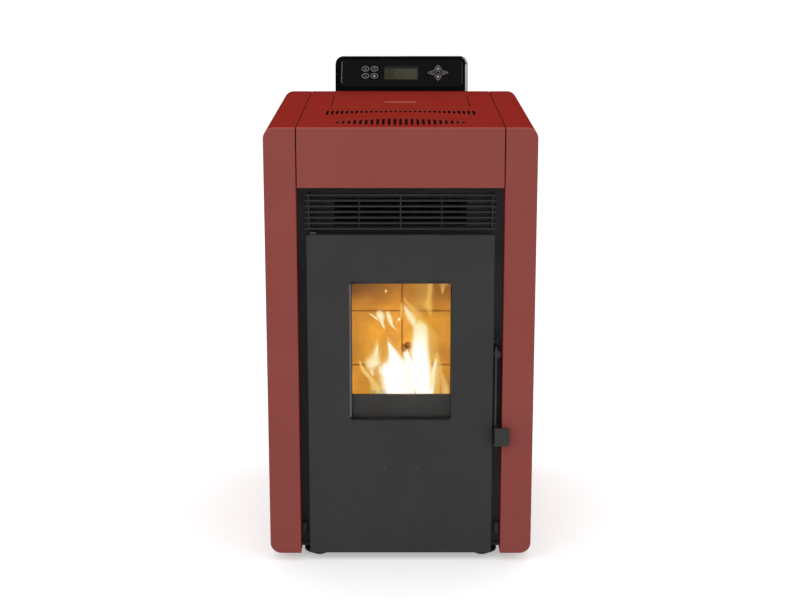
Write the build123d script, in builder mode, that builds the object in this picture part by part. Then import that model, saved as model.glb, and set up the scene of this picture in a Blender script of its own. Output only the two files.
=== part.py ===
from build123d import *
from math import cos, radians, sin, sqrt, tan
import os

os.makedirs("parts", exist_ok=True)

# Pellet stove, millimetres. X is to the right, Y to the back, Z up; the origin lies on the
# floor under the middle of the whole object. Depths are measured back from the red front
# plane, so a depth of 0 is the fascia and a depth of BODY_DEPTH is the outside of the back.

# ---- casing
BODY_WIDTH = 480
BODY_DEPTH = 560
TOP_Z = 805
SHEET = 1.5
CORNER_RADIUS = 20
BEND_RADIUS = 2
PANEL_BOTTOM_Z = 15
PANEL_FACE_WIDTH = 56.5
SEAM = 1.8
FASCIA_HEIGHT = 106.4
FASCIA_RETURN = 12
COVER_FLANGE = 10
FOOT_HEIGHT = 22
BASE_THICK = 2
BASE_FRONT = 33
BASE_LIP = 4.2
HANDLE_PROUD = 14
FLUE_REACH = 60
FOOT_INSET = 32
FOOT_DEPTHS = (42.5, 505)
FOOT_RADIUS = 27.5
FOOT_PAD_RADIUS = 10.5
FOOT_CHAMFER = 9
FOOT_STEM = 6

# ---- fits between pieces
PIN_PLAY = 0.05
MOVING_GAP = 0.3
CUTOUT_PLAY = 0.5

# ---- places that follow from the casing
FRONT_Y = (HANDLE_PROUD - BODY_DEPTH - FLUE_REACH) / 2
BODY_X = BODY_WIDTH / 2
INNER_X = BODY_X - SHEET
PANEL_EDGE_X = BODY_X - PANEL_FACE_WIDTH
COVER_X = PANEL_EDGE_X - SEAM
COVER_UNDER_Z = TOP_Z - SHEET
FASCIA_BOTTOM_Z = TOP_Z - FASCIA_HEIGHT
BASE_TOP_Z = FOOT_HEIGHT + BASE_THICK
REAR_INSIDE = BODY_DEPTH - SHEET
FOOT_X = PANEL_EDGE_X - FOOT_INSET

# ---- front frame, recessed behind the door and the outlet grille
FRAME_DEPTH = 38
FRAME_THICK = 2
FRAME_BACK = FRAME_DEPTH + FRAME_THICK
FRAME_TOP_Z = FASCIA_BOTTOM_Z + 20
FRAME_X = PANEL_EDGE_X + 2.5
LUG_SIZE = 9
LUG_INSET = 5.5
LUG_Z = 55
LUG_HEIGHT = 20
LUG_REACH = 14
LUG_X = PANEL_EDGE_X - LUG_INSET

# ---- warm-air slots in the top
SLOT_WIDTH = 5
FRONT_SLOTS = 23
FRONT_SLOT_PITCH = 10.2
FRONT_SLOT_CENTRE = (31, 126)
FRONT_SLOT_END = (56, 87)
REAR_SLOTS = 31
REAR_SLOT_PITCH = 9.07
REAR_SLOT_CENTRE = (212, 242)
REAR_SLOT_END = (175, 242)

# ---- hopper lid
LID_WIDTH = 264
LID_FRONT = 299
LID_LENGTH = 176
LID_FLANGE = 10
LID_REAR_GAP = 4.5
LID_AXIS_DROP = 3.5
LID_AXIS_INSET = 0.5
LID_EAR = 3
LID_EAR_X = 100
LID_KNUCKLE_RADIUS = 3
LID_PIN_RADIUS = 1.5
LID_LIP_WIDTH = 62
LID_LIP_DEPTH = 12
LID_LIP_HEIGHT = 3
LID_LIP_NOSE = (0.6, 1.2, 3)
LID_LIP_INSET = 56
HINGE_LEAF_DROP = 6
HINGE_LEAF_BACK = 16
HINGE_LEAF_THICK = 2
HINGE_LEAF_WIDTH = 12
LID_X = LID_WIDTH / 2
LID_REAR = LID_FRONT + LID_LENGTH
LID_AXIS_DEPTH = LID_REAR + LID_AXIS_INSET
LID_AXIS_Z = TOP_Z - LID_AXIS_DROP

# ---- outlet grille
GRILLE_GAP = 14.5
GRILLE_BLADES = 7
GRILLE_PITCH = 10.1
GRILLE_TOP_Z = 684.3
GRILLE_BLADE = (14, 3.5)
GRILLE_FRONT = 8
GRILLE_RIB = 2
GRILLE_RIB_PITCH = 73
GRILLE_END_RIB_INSET = 6.8
GRILLE_STILE = 51
GRILLE_X = PANEL_EDGE_X - GRILLE_GAP
GRILLE_END_RIB_X = GRILLE_X - GRILLE_END_RIB_INSET
GRILLE_OPENING_X = GRILLE_X - GRILLE_STILE
GRILLE_BOTTOM_Z = GRILLE_TOP_Z - (GRILLE_BLADES - 1) * GRILLE_PITCH

# ---- door
DOOR_GAP = 16.4
DOOR_X = PANEL_EDGE_X - DOOR_GAP
DOOR_BOTTOM_Z = 14.4
DOOR_TOP_Z = 613.6
DOOR_FACE = 4
DOOR_SHEET = 2
DOOR_RETURN = 18
DOOR_CORNER = 4
DOOR_STILE = 75.4
WINDOW_X = DOOR_X - DOOR_STILE
WINDOW_BOTTOM_Z = 270.7
WINDOW_TOP_Z = 529.6
WINDOW_CORNER = 8
WINDOW_FLANGE = 10
HINGE_INSET = 14.6
HINGE_X = HINGE_INSET - DOOR_X
HINGE_DEPTH = 14
HINGE_PIN_RADIUS = 2.5
HINGE_PIN_LENGTH = 16
HINGE_TAB = (11, 4)
HINGE_TAB_SHIFT = 2.3
LOWER_TAB = (9, 4)
LOWER_TAB_Z = 45
HINGE_GAP = 0.5
DOOR_BACK = DOOR_FACE + DOOR_RETURN

# ---- door glass, inner frame and seals
GLASS_THICK = 4
GLASS_LAP = 12.3
GLASS_X = WINDOW_X + GLASS_LAP
GLASS_Z = (259, 541)
GASKET = 2
GLASS_FRONT = DOOR_FACE + WINDOW_FLANGE + GASKET
GLASS_BACK = GLASS_FRONT + GLASS_THICK
INNER_MARGIN = 22.1
INNER_X_HALF = DOOR_X - INNER_MARGIN
INNER_Z = (137, 608)
INNER_FRONT = GLASS_BACK + GASKET
INNER_BACK = 34
VIEW_LEDGE = 1.7
VIEW_X = WINDOW_X - VIEW_LEDGE
VIEW_Z = (314, 521.5)
ROPE_WIDTH = 9
ROPE_INSET = 11
ROPE_X = INNER_X_HALF - ROPE_INSET
ROPE_Z = (146, 599)
BOSS_RADIUS = 6
BOSS_INSET = 21
BOSS_X = INNER_X_HALF - BOSS_INSET
BOSS_Z = (175, 580)
RIVET_X = 29.3
RIVET_Z = 180
RIVET_RADIUS = 1.8
RIVET_HEAD = 0.8

# ---- handle on the right edge of the door
HANDLE_THICK = 3.5
HANDLE_GAP = 2.9
HANDLE_TOP_Z = 409
HANDLE_BOTTOM_Z = 226
HANDLE_PIVOT_Z = 393
HANDLE_PIVOT_DEPTH = 13.5
HANDLE_BAR = (2, 20)
HANDLE_TAB_WIDTH = 27
HANDLE_TAB_Z = (227, 261)
HANDLE_TAB_THICK = 4
HANDLE_TAB_CORNER = 5.7
PIVOT_RADIUS = 4
PIVOT_HEAD = (9, 3.6, 8)
PIVOT_NUT = 7
TONGUE_REACH = 30
TONGUE_HEIGHT = 9
TONGUE_DROP = 4
HANDLE_X = DOOR_X + HANDLE_GAP
HANDLE_TAB_X = HANDLE_X + HANDLE_TAB_WIDTH
KEEPER_GAP = 2.5

# ---- firebox
FIREBOX_INSET = 33.5
FIREBOX_X = PANEL_EDGE_X - FIREBOX_INSET
FIREBOX_WALL = 3
FIREBOX_BACK = 262
FIREBOX_BOTTOM_Z = 152
FIREBOX_TOP_Z = 685
MOUTH_JAMB = 25
MOUTH_X = FIREBOX_X - MOUTH_JAMB
MOUTH_TOP_Z = 590
BRICK_BOTTOM_Z = 204
BRICK_HEIGHT = 108
BRICK_ROWS = 3
BRICK_JOINT = 0.6
BRICK_JOINT_X = 3
BRICK_HOLE = (15, 351)
BRICK_HOLE_RADIUS = 7
BRICK_HOLE_DEEP = 14
REAR_BRICK = 28
SIDE_BRICK = 25
SIDE_BRICK_FRONT = 46
LEDGE = 5
BAFFLE_Z = 595
BAFFLE_THICK = 5
BAFFLE_FRONT = 80
EXCHANGER_TUBES = 5
EXCHANGER_RADIUS = 17
EXCHANGER_WALL = 2
EXCHANGER_PITCH = 46
EXCHANGER_Z = 653
LEG_INSET = 12
LEG_X = FIREBOX_X - LEG_INSET
LEG_THICK = 3
LEG_FOOT = 20
LEG_DEPTHS = (70, 250)
BAFFLE_LEDGE = 10
FIREBOX_IN_X = FIREBOX_X - FIREBOX_WALL
FIREBOX_IN_FRONT = FRAME_BACK + FIREBOX_WALL
FIREBOX_IN_BACK = FIREBOX_BACK - FIREBOX_WALL
FIREBOX_FLOOR_Z = FIREBOX_BOTTOM_Z + FIREBOX_WALL
REAR_BRICK_FACE = FIREBOX_IN_BACK - REAR_BRICK

# ---- burn pot, its cradle, the ash drawer and the ignitor
POT_X = 54
POT_DEPTHS = (112, 210)
POT_BOTTOM_Z = 211
POT_TOP_Z = 267
POT_WALL = 4
POT_RIM = 7
CRADLE_X = 62
CRADLE_FRONT = 103
CRADLE_Z = (207, 237)
CRADLE_WALL = 3
DRAWER_X = 110
DRAWER_DEPTHS = (85, 250)
DRAWER_HEIGHT = 40
DRAWER_WALL = 2
IGNITOR_X = -20
IGNITOR_Z = 224
IGNITOR_RADIUS = 5
IGNITOR_LENGTH = 110
IGNITOR_TIP = POT_DEPTHS[1] + 4

# ---- pellet feed
AUGER_TILT = radians(40)
AUGER_SETBACK = 5.27
AUGER_LOW_Z = 373
AUGER_LENGTH = 279
AUGER_LOW_DEPTH = REAR_BRICK_FACE + AUGER_SETBACK + AUGER_LENGTH * cos(AUGER_TILT)
AUGER_RADIUS = 30
AUGER_WALL = 2.5
AUGER_SHAFT = 7
AUGER_FLIGHT = 26
AUGER_PITCH = 38
AUGER_FLIGHT_THICK = 3
GEARMOTOR_RADIUS = 35
GEARMOTOR_LENGTH = 58
HOPPER_X = 142
HOPPER_DEPTHS = (288, 546)
HOPPER_BOTTOM_Z = 605
THROAT_X = 24
THROAT_DEPTHS = (392, 438)
THROAT_Z = 467
CHUTE_X = 22
CHUTE_SHEET = 2

# ---- smoke path
DUCT_CLEARANCE = 27
DUCT_X = (DUCT_CLEARANCE - BODY_X, -FIREBOX_X)
DUCT_WALL = 2
DUCT_UPRIGHT = (200, 260)
DUCT_TOP_Z = 660
DUCT_Z = (80, 190)
DUCT_BACK = 445
SMOKE_WINDOW_Z = (605, 655)
VOLUTE_DEPTH = 400
VOLUTE_Z = 135
VOLUTE_RADIUS = 60
VOLUTE_WALL = 3
VOLUTE_EYE = 30
VOLUTE_OUTLET = 38
VOLUTE_WIDTH = 50
VOLUTE_X = (-FIREBOX_X, VOLUTE_WIDTH - FIREBOX_X)
IMPELLER_RADIUS = 50
IMPELLER_BLADES = 12
IMPELLER_DISC = 2
IMPELLER_PLAY = (5, 6)
IMPELLER_HUB = (10, 14)
IMPELLER_BLADE = (30, 2)
IMPELLER_BLADE_MIDDLE = 34
FAN_SHAFT = 4
EXHAUST_MOTOR_RADIUS = 38
EXHAUST_MOTOR_BELL = 24
EXHAUST_MOTOR_SPAN = (8, 52, 78)
MOTOR_POST = (4, 32)
SHAFT_REACH = 50
FLUE_RADIUS = 40
FLUE_WALL = 2
FLUE_Z = 155
FLUE_FLANGE_RIM = 6
FLUE_FLANGE_THICK = 4
FLUE_FLANGE_DEPTH = VOLUTE_DEPTH + VOLUTE_RADIUS + FLUE_FLANGE_RIM
BEAD = 3
INTAKE_X = 45
INTAKE_Z = 222
INTAKE_RADIUS = 25

# ---- room-air fan
ROOM_FAN_CLEARANCE = 70
ROOM_FAN_X = (20, BODY_X - ROOM_FAN_CLEARANCE)
ROOM_FAN_DEPTH = 400
ROOM_FAN_Z = 105
ROOM_FAN_RADIUS = 66
ROOM_ROTOR_RADIUS = 50
ROOM_ROTOR_BLADES = 24
ROOM_MOTOR_RADIUS = 36
ROOM_MOTOR_LENGTH = 56
ROOM_OUTLET = (296, 137)

# ---- electrics at the back
BOARD_WIDTH = 76
BOARD_CLEARANCE = 10.5
BOARD_X = (INNER_X - BOARD_CLEARANCE - BOARD_WIDTH, INNER_X - BOARD_CLEARANCE)
BOARD_Z = (355, 565)
BOARD_THICK = 1.6
STANDOFF = 12
INLET_INSET = 48.5
INLET_X = INNER_X - INLET_INSET
INLET_Z = (67, 133)
INLET_HALF = 17
SOCKET_Z = 87
ROCKER_Z = 118
ROCKER_RADIUS = 6.6
ROCKER_HALF = 9
CAP_Z = 170
CAP_RADIUS = 9
SWITCH_X = 100
SWITCH_Z = 305
SCREW_HEAD = 4
SCREW_HEAD_TALL = 2
SCREW_SHANK = 1.8
SCREW_REACH = 9
SCREW_CROSS = (2.6, 0.4)
SCREW_ROWS = 4
SCREW_INSET = 12
SCREW_RISE = 50
SCREW_DROP = 20
SCREW_FOOT_X = 80
COOLING_SLOT = (52, 5)
COOLING_PITCH = (62, 12)
COOLING_ROWS = 6
COOLING_FAN = (INLET_X - 90, 115)
COOLING_HOPPER = (0, 475)
CABLE_SLOT = (40, 14)
CABLE_RISE = 22

# control board parts: width, reach, height and place from the board's lower left corner
RELAY = (19, 15, 16)
RELAY_PLACE = (8, 76)
RELAY_STEP = 24
TRANSFORMER = (30, 24, 40)
TRANSFORMER_PLACE = (14, 20)
CONTROLLER = (24, 3, 24)
CONTROLLER_PLACE = (36, 110)
TERMINALS = (56, 12, 10)
TERMINALS_PLACE = (10, 184)
CAN_RADIUS = 6
CAN_REACH = 20
CAN_PLACES = ((58, 30), (58, 48))
BOARD_POST = 3
BOARD_POST_INSET = 6

# reset cap and pressure switch: radius and reach of each step, from the panel inwards
CAP_REACH = 9
CAP_STEM = (7.3, 22)
CAP_NUT = (12, 6)
PRESSURE_SWITCH = ((24, 16), (19, 8), (3, 14))

# ---- console
CONSOLE_MIDDLE_X = 2.2
CONSOLE_X = 136.5
CONSOLE_RISE = 70
CONSOLE_TILT = 12
CONSOLE_CORNER = 16
CONSOLE_BOTTOM_Z = 747
CONSOLE_THICK = 26
FASCIA_X = 126
FASCIA_Y = (10, 65)
FASCIA_THICK = 1.5
FASCIA_SUNK = 0.7
FASCIA_CORNER = 7
CAVITY_LIP = 4
CAVITY_DEEP = 12
LCD_X = 35.5
LCD_Y = (24.5, 52.5)
LCD_CORNER = 0.6
LCD_PLAY = 0.2
LCD_SUNK = 0.5
LCD_LIP = 4
LCD_THICK = 4
KEY_PROUD = 0.4
KEY_LIP = 0.55
KEY_FLANGE = 1.2
OVAL_KEY = (16, 11.5)
OVAL_CORNER = 5.7
OVAL_X = (-74.6, -56)
OVAL_Y = (31.5, 46)
NAV_X = 75.3
NAV_Y = 38
NAV_OK = (14, 9.2)
NAV_OK_CORNER = 1.2
NAV_SPACE = 1.4
NAV_TIP_RADIUS = 0.8
# half width and half length of the two crossing leaves that the arrow keys are cut from
NAV_SIDE_LEAF = (5.5, 22.4)
NAV_RISE_LEAF = (8.2, 16.5)
TILT = radians(CONSOLE_TILT)


def slab(x_span, depth_span, z_span, mode=Mode.ADD):
    """Box between two X values, two depths and two heights."""
    spans = (x_span, depth_span, z_span)
    centre = [(span[0] + span[1]) / 2 for span in spans]
    size = [abs(span[1] - span[0]) for span in spans]
    with Locations((centre[0], FRONT_Y + centre[1], centre[2])):
        Box(*size, mode=mode)


def rod_x(depth, z, radius, x_span, mode=Mode.ADD):
    """Round bar along X."""
    with Locations(Plane(origin=(min(x_span), FRONT_Y + depth, z), z_dir=(1, 0, 0))):
        length = abs(x_span[1] - x_span[0])
        Cylinder(radius, length, align=(Align.CENTER, Align.CENTER, Align.MIN), mode=mode)


def rod_y(x, z, radius, depth_span, mode=Mode.ADD):
    """Round bar along the depth."""
    with Locations(Plane(origin=(x, FRONT_Y + min(depth_span), z), z_dir=(0, 1, 0))):
        length = abs(depth_span[1] - depth_span[0])
        Cylinder(radius, length, align=(Align.CENTER, Align.CENTER, Align.MIN), mode=mode)


def rod_z(x, depth, radius, z_span, mode=Mode.ADD):
    """Upright round bar."""
    with Locations((x, FRONT_Y + depth, min(z_span))):
        length = abs(z_span[1] - z_span[0])
        Cylinder(radius, length, align=(Align.CENTER, Align.CENTER, Align.MIN), mode=mode)


def upright_plane(depth):
    """Plane that faces the front: sketch x is X, sketch y is Z."""
    return Plane(origin=(0, FRONT_Y + depth, 0), x_dir=(1, 0, 0), z_dir=(0, -1, 0))


def side_plane(x):
    """Plane square to X: sketch x is the depth, sketch y is Z, extrusions go to +X."""
    return Plane(origin=(x, FRONT_Y, 0), x_dir=(0, 1, 0), z_dir=(1, 0, 0))


def top_plane(z):
    """Level plane: sketch x is X, sketch y is the depth."""
    return Plane(origin=(0, FRONT_Y, z), x_dir=(1, 0, 0), z_dir=(0, 0, 1))


def save(part, name):
    part.label = name
    export_step(part, "parts/" + name + ".step")


# ---------------------------------------------------------------- casing

# half width between the side panels where their lower corners start to curve in
CORNER_FALL = PANEL_BOTTOM_Z + CORNER_RADIUS - FOOT_HEIGHT
BASE_X = BODY_X - CORNER_RADIUS + sqrt((CORNER_RADIUS - SHEET) ** 2 - CORNER_FALL ** 2)

with BuildPart() as base_plate:
    slab((-BASE_X, BASE_X), (FRAME_DEPTH, REAR_INSIDE), (FOOT_HEIGHT, BASE_TOP_Z))
    slab((-PANEL_EDGE_X, PANEL_EDGE_X), (BASE_FRONT, FRAME_DEPTH), (FOOT_HEIGHT, BASE_TOP_Z))
    slab((-PANEL_EDGE_X, PANEL_EDGE_X), (BASE_FRONT, BASE_FRONT + BASE_THICK),
         (FOOT_HEIGHT - BASE_LIP, BASE_TOP_Z))
save(base_plate.part, "base_plate")

FOOT_DISC = DOOR_BOTTOM_Z - 0.5

with BuildPart() as feet:
    for foot_x in (-FOOT_X, FOOT_X):
        for foot_depth in FOOT_DEPTHS:
            with BuildSketch(Plane(origin=(foot_x, FRONT_Y + foot_depth, 0), x_dir=(1, 0, 0),
                                   z_dir=(0, -1, 0))):
                with BuildLine():
                    Polyline((0, 0), (FOOT_PAD_RADIUS, 0), (FOOT_RADIUS, FOOT_CHAMFER),
                             (FOOT_RADIUS, FOOT_DISC - 1), (FOOT_RADIUS - 1, FOOT_DISC),
                             (FOOT_STEM, FOOT_DISC), (FOOT_STEM, FOOT_HEIGHT),
                             (0, FOOT_HEIGHT), close=True)
                make_face()
            revolve(axis=Axis((foot_x, FRONT_Y + foot_depth, 0), (0, 0, 1)))
save(feet.part, "feet")

PANEL_MIDDLE = (PANEL_EDGE_X + PANEL_FACE_WIDTH / 2, (PANEL_BOTTOM_Z + TOP_Z) / 2)
PANEL_HEIGHT = TOP_Z - PANEL_BOTTOM_Z

with BuildPart() as side_panel_right:
    with BuildSketch(upright_plane(0)) as face:
        with Locations(PANEL_MIDDLE):
            Rectangle(PANEL_FACE_WIDTH, PANEL_HEIGHT)
        fillet(face.vertices().group_by(Axis.X)[-1], CORNER_RADIUS)
    extrude(amount=-BODY_DEPTH)
    fillet(side_panel_right.faces().sort_by(Axis.Y)[0].edges(), BEND_RADIUS)
    with BuildSketch(upright_plane(SHEET)) as hollow:
        with Locations(PANEL_MIDDLE):
            Rectangle(PANEL_FACE_WIDTH - 2 * SHEET, PANEL_HEIGHT - 2 * SHEET)
        fillet(hollow.vertices().group_by(Axis.X)[-1], CORNER_RADIUS - SHEET)
    extrude(amount=-BODY_DEPTH, mode=Mode.SUBTRACT)
    slab((PANEL_EDGE_X, PANEL_EDGE_X + SHEET), (FRAME_DEPTH - MOVING_GAP, BODY_DEPTH),
         (PANEL_BOTTOM_Z + SHEET, COVER_UNDER_Z), Mode.SUBTRACT)
save(side_panel_right.part, "side_panel_right")

with BuildPart() as side_panel_left:
    mirror(side_panel_right.part, about=Plane.YZ)
save(side_panel_left.part, "side_panel_left")


def cut_slot_row(count, pitch, centre_span, end_span):
    """Row of round-ended slots whose ends follow two shallow arches across the top."""
    reach = pitch * (count - 1) / 2
    for index in range(count):
        x = pitch * index - reach
        share = (x / reach) ** 2
        near = centre_span[0] + (end_span[0] - centre_span[0]) * share
        far = centre_span[1] + (end_span[1] - centre_span[1]) * share
        with Locations((x, (near + far) / 2)):
            SlotOverall(far - near, SLOT_WIDTH, rotation=90)


with BuildPart() as top_front_cover:
    slab((-COVER_X, COVER_X), (0, BODY_DEPTH), (COVER_UNDER_Z, TOP_Z))
    slab((-COVER_X, COVER_X), (0, SHEET), (FASCIA_BOTTOM_Z, TOP_Z))
    slab((-COVER_X, COVER_X), (0, FASCIA_RETURN), (FASCIA_BOTTOM_Z, FASCIA_BOTTOM_Z + SHEET))
    for side in (-1, 1):
        slab((side * COVER_X, side * (COVER_X - SHEET)), (0, REAR_INSIDE),
             (TOP_Z - COVER_FLANGE, TOP_Z))
    fillet(top_front_cover.edges().filter_by(Axis.X).group_by(Axis.Y)[0].sort_by(Axis.Z)[-1],
           BEND_RADIUS)
    with BuildSketch(top_plane(TOP_Z)):
        cut_slot_row(FRONT_SLOTS, FRONT_SLOT_PITCH, FRONT_SLOT_CENTRE, FRONT_SLOT_END)
        cut_slot_row(REAR_SLOTS, REAR_SLOT_PITCH, REAR_SLOT_CENTRE, REAR_SLOT_END)
    extrude(amount=-2 * SHEET, mode=Mode.SUBTRACT)
    slab((-LID_X - SEAM, LID_X + SEAM), (LID_FRONT - SEAM, LID_REAR + LID_REAR_GAP),
         (TOP_Z - LID_FLANGE, TOP_Z), Mode.SUBTRACT)
save(top_front_cover.part, "top_front_cover")

with BuildPart() as hopper_lid:
    slab((-LID_X, LID_X), (LID_FRONT, LID_REAR), (COVER_UNDER_Z, TOP_Z))
    slab((-LID_X, LID_X), (LID_FRONT, LID_FRONT + SHEET), (TOP_Z - LID_FLANGE, TOP_Z))
    for side in (-1, 1):
        slab((side * LID_X, side * (LID_X - SHEET)), (LID_FRONT, LID_REAR - 12),
             (TOP_Z - LID_FLANGE, TOP_Z))
    # pressed finger lip with a curled nose
    lip_depth = LID_FRONT + LID_LIP_INSET
    with BuildSketch(side_plane(-LID_LIP_WIDTH / 2)):
        with BuildLine():
            Polyline((lip_depth, COVER_UNDER_Z), (lip_depth, TOP_Z + LID_LIP_NOSE[0]),
                     (lip_depth + LID_LIP_NOSE[1], TOP_Z + LID_LIP_HEIGHT),
                     (lip_depth + LID_LIP_NOSE[2], TOP_Z + LID_LIP_HEIGHT),
                     (lip_depth + LID_LIP_DEPTH, TOP_Z), (lip_depth + LID_LIP_DEPTH, COVER_UNDER_Z),
                     close=True)
        make_face()
    extrude(amount=LID_LIP_WIDTH)
    for side in (-1, 1):
        ear_x = (side * LID_EAR_X - LID_EAR / 2, side * LID_EAR_X + LID_EAR / 2)
        rod_x(LID_AXIS_DEPTH, LID_AXIS_Z, LID_KNUCKLE_RADIUS, ear_x)
        slab(ear_x, (LID_AXIS_DEPTH - 8, LID_AXIS_DEPTH),
             (LID_AXIS_Z - LID_KNUCKLE_RADIUS, COVER_UNDER_Z))
        rod_x(LID_AXIS_DEPTH, LID_AXIS_Z, LID_PIN_RADIUS + PIN_PLAY, ear_x, Mode.SUBTRACT)
        # notch that lets the fixed cheek pass while the lid swings
        cheek = side * (LID_EAR_X + LID_EAR / 2 + CUTOUT_PLAY)
        slab((cheek - MOVING_GAP * side, cheek + side * (LID_EAR + MOVING_GAP)),
             (LID_REAR - 8, LID_REAR + 1), (TOP_Z - LID_FLANGE, TOP_Z + 1), Mode.SUBTRACT)
save(hopper_lid.part, "hopper_lid")

with BuildPart() as lid_hinge:
    for side in (-1, 1):
        cheek = side * (LID_EAR_X + LID_EAR / 2 + CUTOUT_PLAY)
        pin_start = side * (LID_EAR_X - LID_EAR / 2 - 1)
        cheek_x = (cheek, cheek + side * LID_EAR)
        slab(cheek_x, (LID_AXIS_DEPTH - LID_KNUCKLE_RADIUS, LID_AXIS_DEPTH + HINGE_LEAF_BACK),
             (LID_AXIS_Z - HINGE_LEAF_DROP, COVER_UNDER_Z))
        slab((side * (LID_EAR_X - HINGE_LEAF_WIDTH), cheek + side * LID_EAR),
             (LID_REAR + LID_REAR_GAP + HINGE_LEAF_THICK, LID_AXIS_DEPTH + HINGE_LEAF_BACK),
             (COVER_UNDER_Z - HINGE_LEAF_THICK, COVER_UNDER_Z))
        rod_x(LID_AXIS_DEPTH, LID_AXIS_Z, LID_PIN_RADIUS, (pin_start, cheek))
save(lid_hinge.part, "lid_hinge")

SCREW_X = BODY_X - SCREW_INSET
SCREW_LOW_Z = PANEL_BOTTOM_Z + SCREW_RISE
SCREW_STEP_Z = (TOP_Z - SCREW_DROP - SCREW_LOW_Z) / (SCREW_ROWS - 1)
SCREW_PLACES = [(side * SCREW_X, SCREW_LOW_Z + SCREW_STEP_Z * row)
                for side in (-1, 1) for row in range(SCREW_ROWS)]
SCREW_PLACES += [(-SCREW_FOOT_X, SCREW_LOW_Z), (SCREW_FOOT_X, SCREW_LOW_Z)]
INLET_CUT_X = (INLET_X - INLET_HALF + 3, INLET_X + INLET_HALF - 3)
INLET_CUT_Z = (INLET_Z[0] + 3, INLET_Z[1] - 3)

with BuildPart() as rear_panel:
    wall = (REAR_INSIDE - 1, BODY_DEPTH + 1)
    with BuildSketch(upright_plane(BODY_DEPTH)):
        with Locations((0, PANEL_MIDDLE[1])):
            RectangleRounded(2 * INNER_X, PANEL_HEIGHT - 2 * SHEET, CORNER_RADIUS - SHEET)
    extrude(amount=SHEET)
    slab((-BODY_X, BODY_X), wall, (0, BASE_TOP_Z), Mode.SUBTRACT)
    flue_x = (VOLUTE_X[0] + VOLUTE_X[1]) / 2
    rod_y(flue_x, FLUE_Z, FLUE_RADIUS + CUTOUT_PLAY, wall, Mode.SUBTRACT)
    rod_y(INTAKE_X, INTAKE_Z, INTAKE_RADIUS + CUTOUT_PLAY, wall, Mode.SUBTRACT)
    rod_y(INLET_X, CAP_Z, CAP_RADIUS - 1.5, wall, Mode.SUBTRACT)
    slab(INLET_CUT_X, wall, INLET_CUT_Z, Mode.SUBTRACT)
    for screw_x, screw_z in SCREW_PLACES:
        rod_y(screw_x, screw_z, SCREW_SHANK + PIN_PLAY, wall, Mode.SUBTRACT)
    # cooling slots beside the room-air fan and behind the hopper
    with BuildSketch(upright_plane(BODY_DEPTH + 1)):
        with Locations(COOLING_FAN, COOLING_HOPPER):
            with GridLocations(*COOLING_PITCH, 2, COOLING_ROWS):
                SlotOverall(*COOLING_SLOT)
    extrude(amount=SHEET + 2, mode=Mode.SUBTRACT)
    with BuildSketch(upright_plane(BODY_DEPTH + 1)):
        with Locations((0, CONSOLE_BOTTOM_Z + CABLE_RISE)):
            SlotOverall(*CABLE_SLOT)
    extrude(amount=SHEET + 2, mode=Mode.SUBTRACT)
save(rear_panel.part, "rear_panel")

with BuildPart() as panel_screws:
    for screw_x, screw_z in SCREW_PLACES:
        rod_y(screw_x, screw_z, SCREW_SHANK, (BODY_DEPTH - SCREW_REACH, BODY_DEPTH))
        rod_y(screw_x, screw_z, SCREW_HEAD, (BODY_DEPTH, BODY_DEPTH + SCREW_HEAD_TALL))
        cross_depth = (BODY_DEPTH + SCREW_HEAD_TALL / 2, BODY_DEPTH + SCREW_HEAD_TALL + 1)
        for cross_x, cross_z in (SCREW_CROSS, SCREW_CROSS[::-1]):
            slab((screw_x - cross_x, screw_x + cross_x), cross_depth,
                 (screw_z - cross_z, screw_z + cross_z), Mode.SUBTRACT)
save(panel_screws.part, "panel_screws")

# ---------------------------------------------------------------- front frame and grille

with BuildPart() as front_frame:
    slab((-FRAME_X, FRAME_X), (FRAME_DEPTH, FRAME_BACK), (BASE_TOP_Z, FRAME_TOP_Z))
    slab((-GRILLE_OPENING_X, GRILLE_OPENING_X), (FRAME_DEPTH - 1, FRAME_BACK + 1),
         (GRILLE_BOTTOM_Z, GRILLE_TOP_Z - GRILLE_PITCH), Mode.SUBTRACT)
    slab((-MOUTH_X, MOUTH_X), (FRAME_DEPTH - 1, FRAME_BACK + 1),
         (FIREBOX_FLOOR_Z, MOUTH_TOP_Z), Mode.SUBTRACT)
    for side in (-1, 1):
        slab((side * LUG_X - LUG_SIZE / 2, side * LUG_X + LUG_SIZE / 2),
             (FRAME_DEPTH - LUG_REACH, FRAME_DEPTH), (LUG_Z - LUG_HEIGHT / 2, LUG_Z + LUG_HEIGHT / 2))
    fillet(front_frame.edges().filter_by(Axis.Z).group_by(Axis.Y)[0], 2)
save(front_frame.part, "front_frame")

with BuildPart() as outlet_grille:
    for index in range(GRILLE_BLADES):
        blade_z = GRILLE_TOP_Z - index * GRILLE_PITCH
        with BuildSketch(side_plane(-GRILLE_X)):
            with Locations((GRILLE_FRONT + GRILLE_BLADE[0] / 2, blade_z)):
                SlotOverall(*GRILLE_BLADE)
        extrude(amount=2 * GRILLE_X)
    rib_z = (GRILLE_BOTTOM_Z - 1, GRILLE_TOP_Z + 1)
    for rib_x in (-GRILLE_RIB_PITCH, GRILLE_RIB_PITCH):
        slab((rib_x - GRILLE_RIB / 2, rib_x + GRILLE_RIB / 2),
             (GRILLE_FRONT + GRILLE_BLADE[0] / 2, GRILLE_FRONT + GRILLE_BLADE[0] + 3), rib_z)
    slab((-GRILLE_RIB / 2, GRILLE_RIB / 2),
         (GRILLE_FRONT + 2, GRILLE_FRONT + GRILLE_BLADE[0] + 3), rib_z)
    for rib_x in (-GRILLE_END_RIB_X, GRILLE_END_RIB_X):
        slab((rib_x - GRILLE_RIB / 2, rib_x + GRILLE_RIB / 2),
             (GRILLE_FRONT + 2, FRAME_DEPTH), rib_z)
save(outlet_grille.part, "outlet_grille")

# ---------------------------------------------------------------- door

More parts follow.
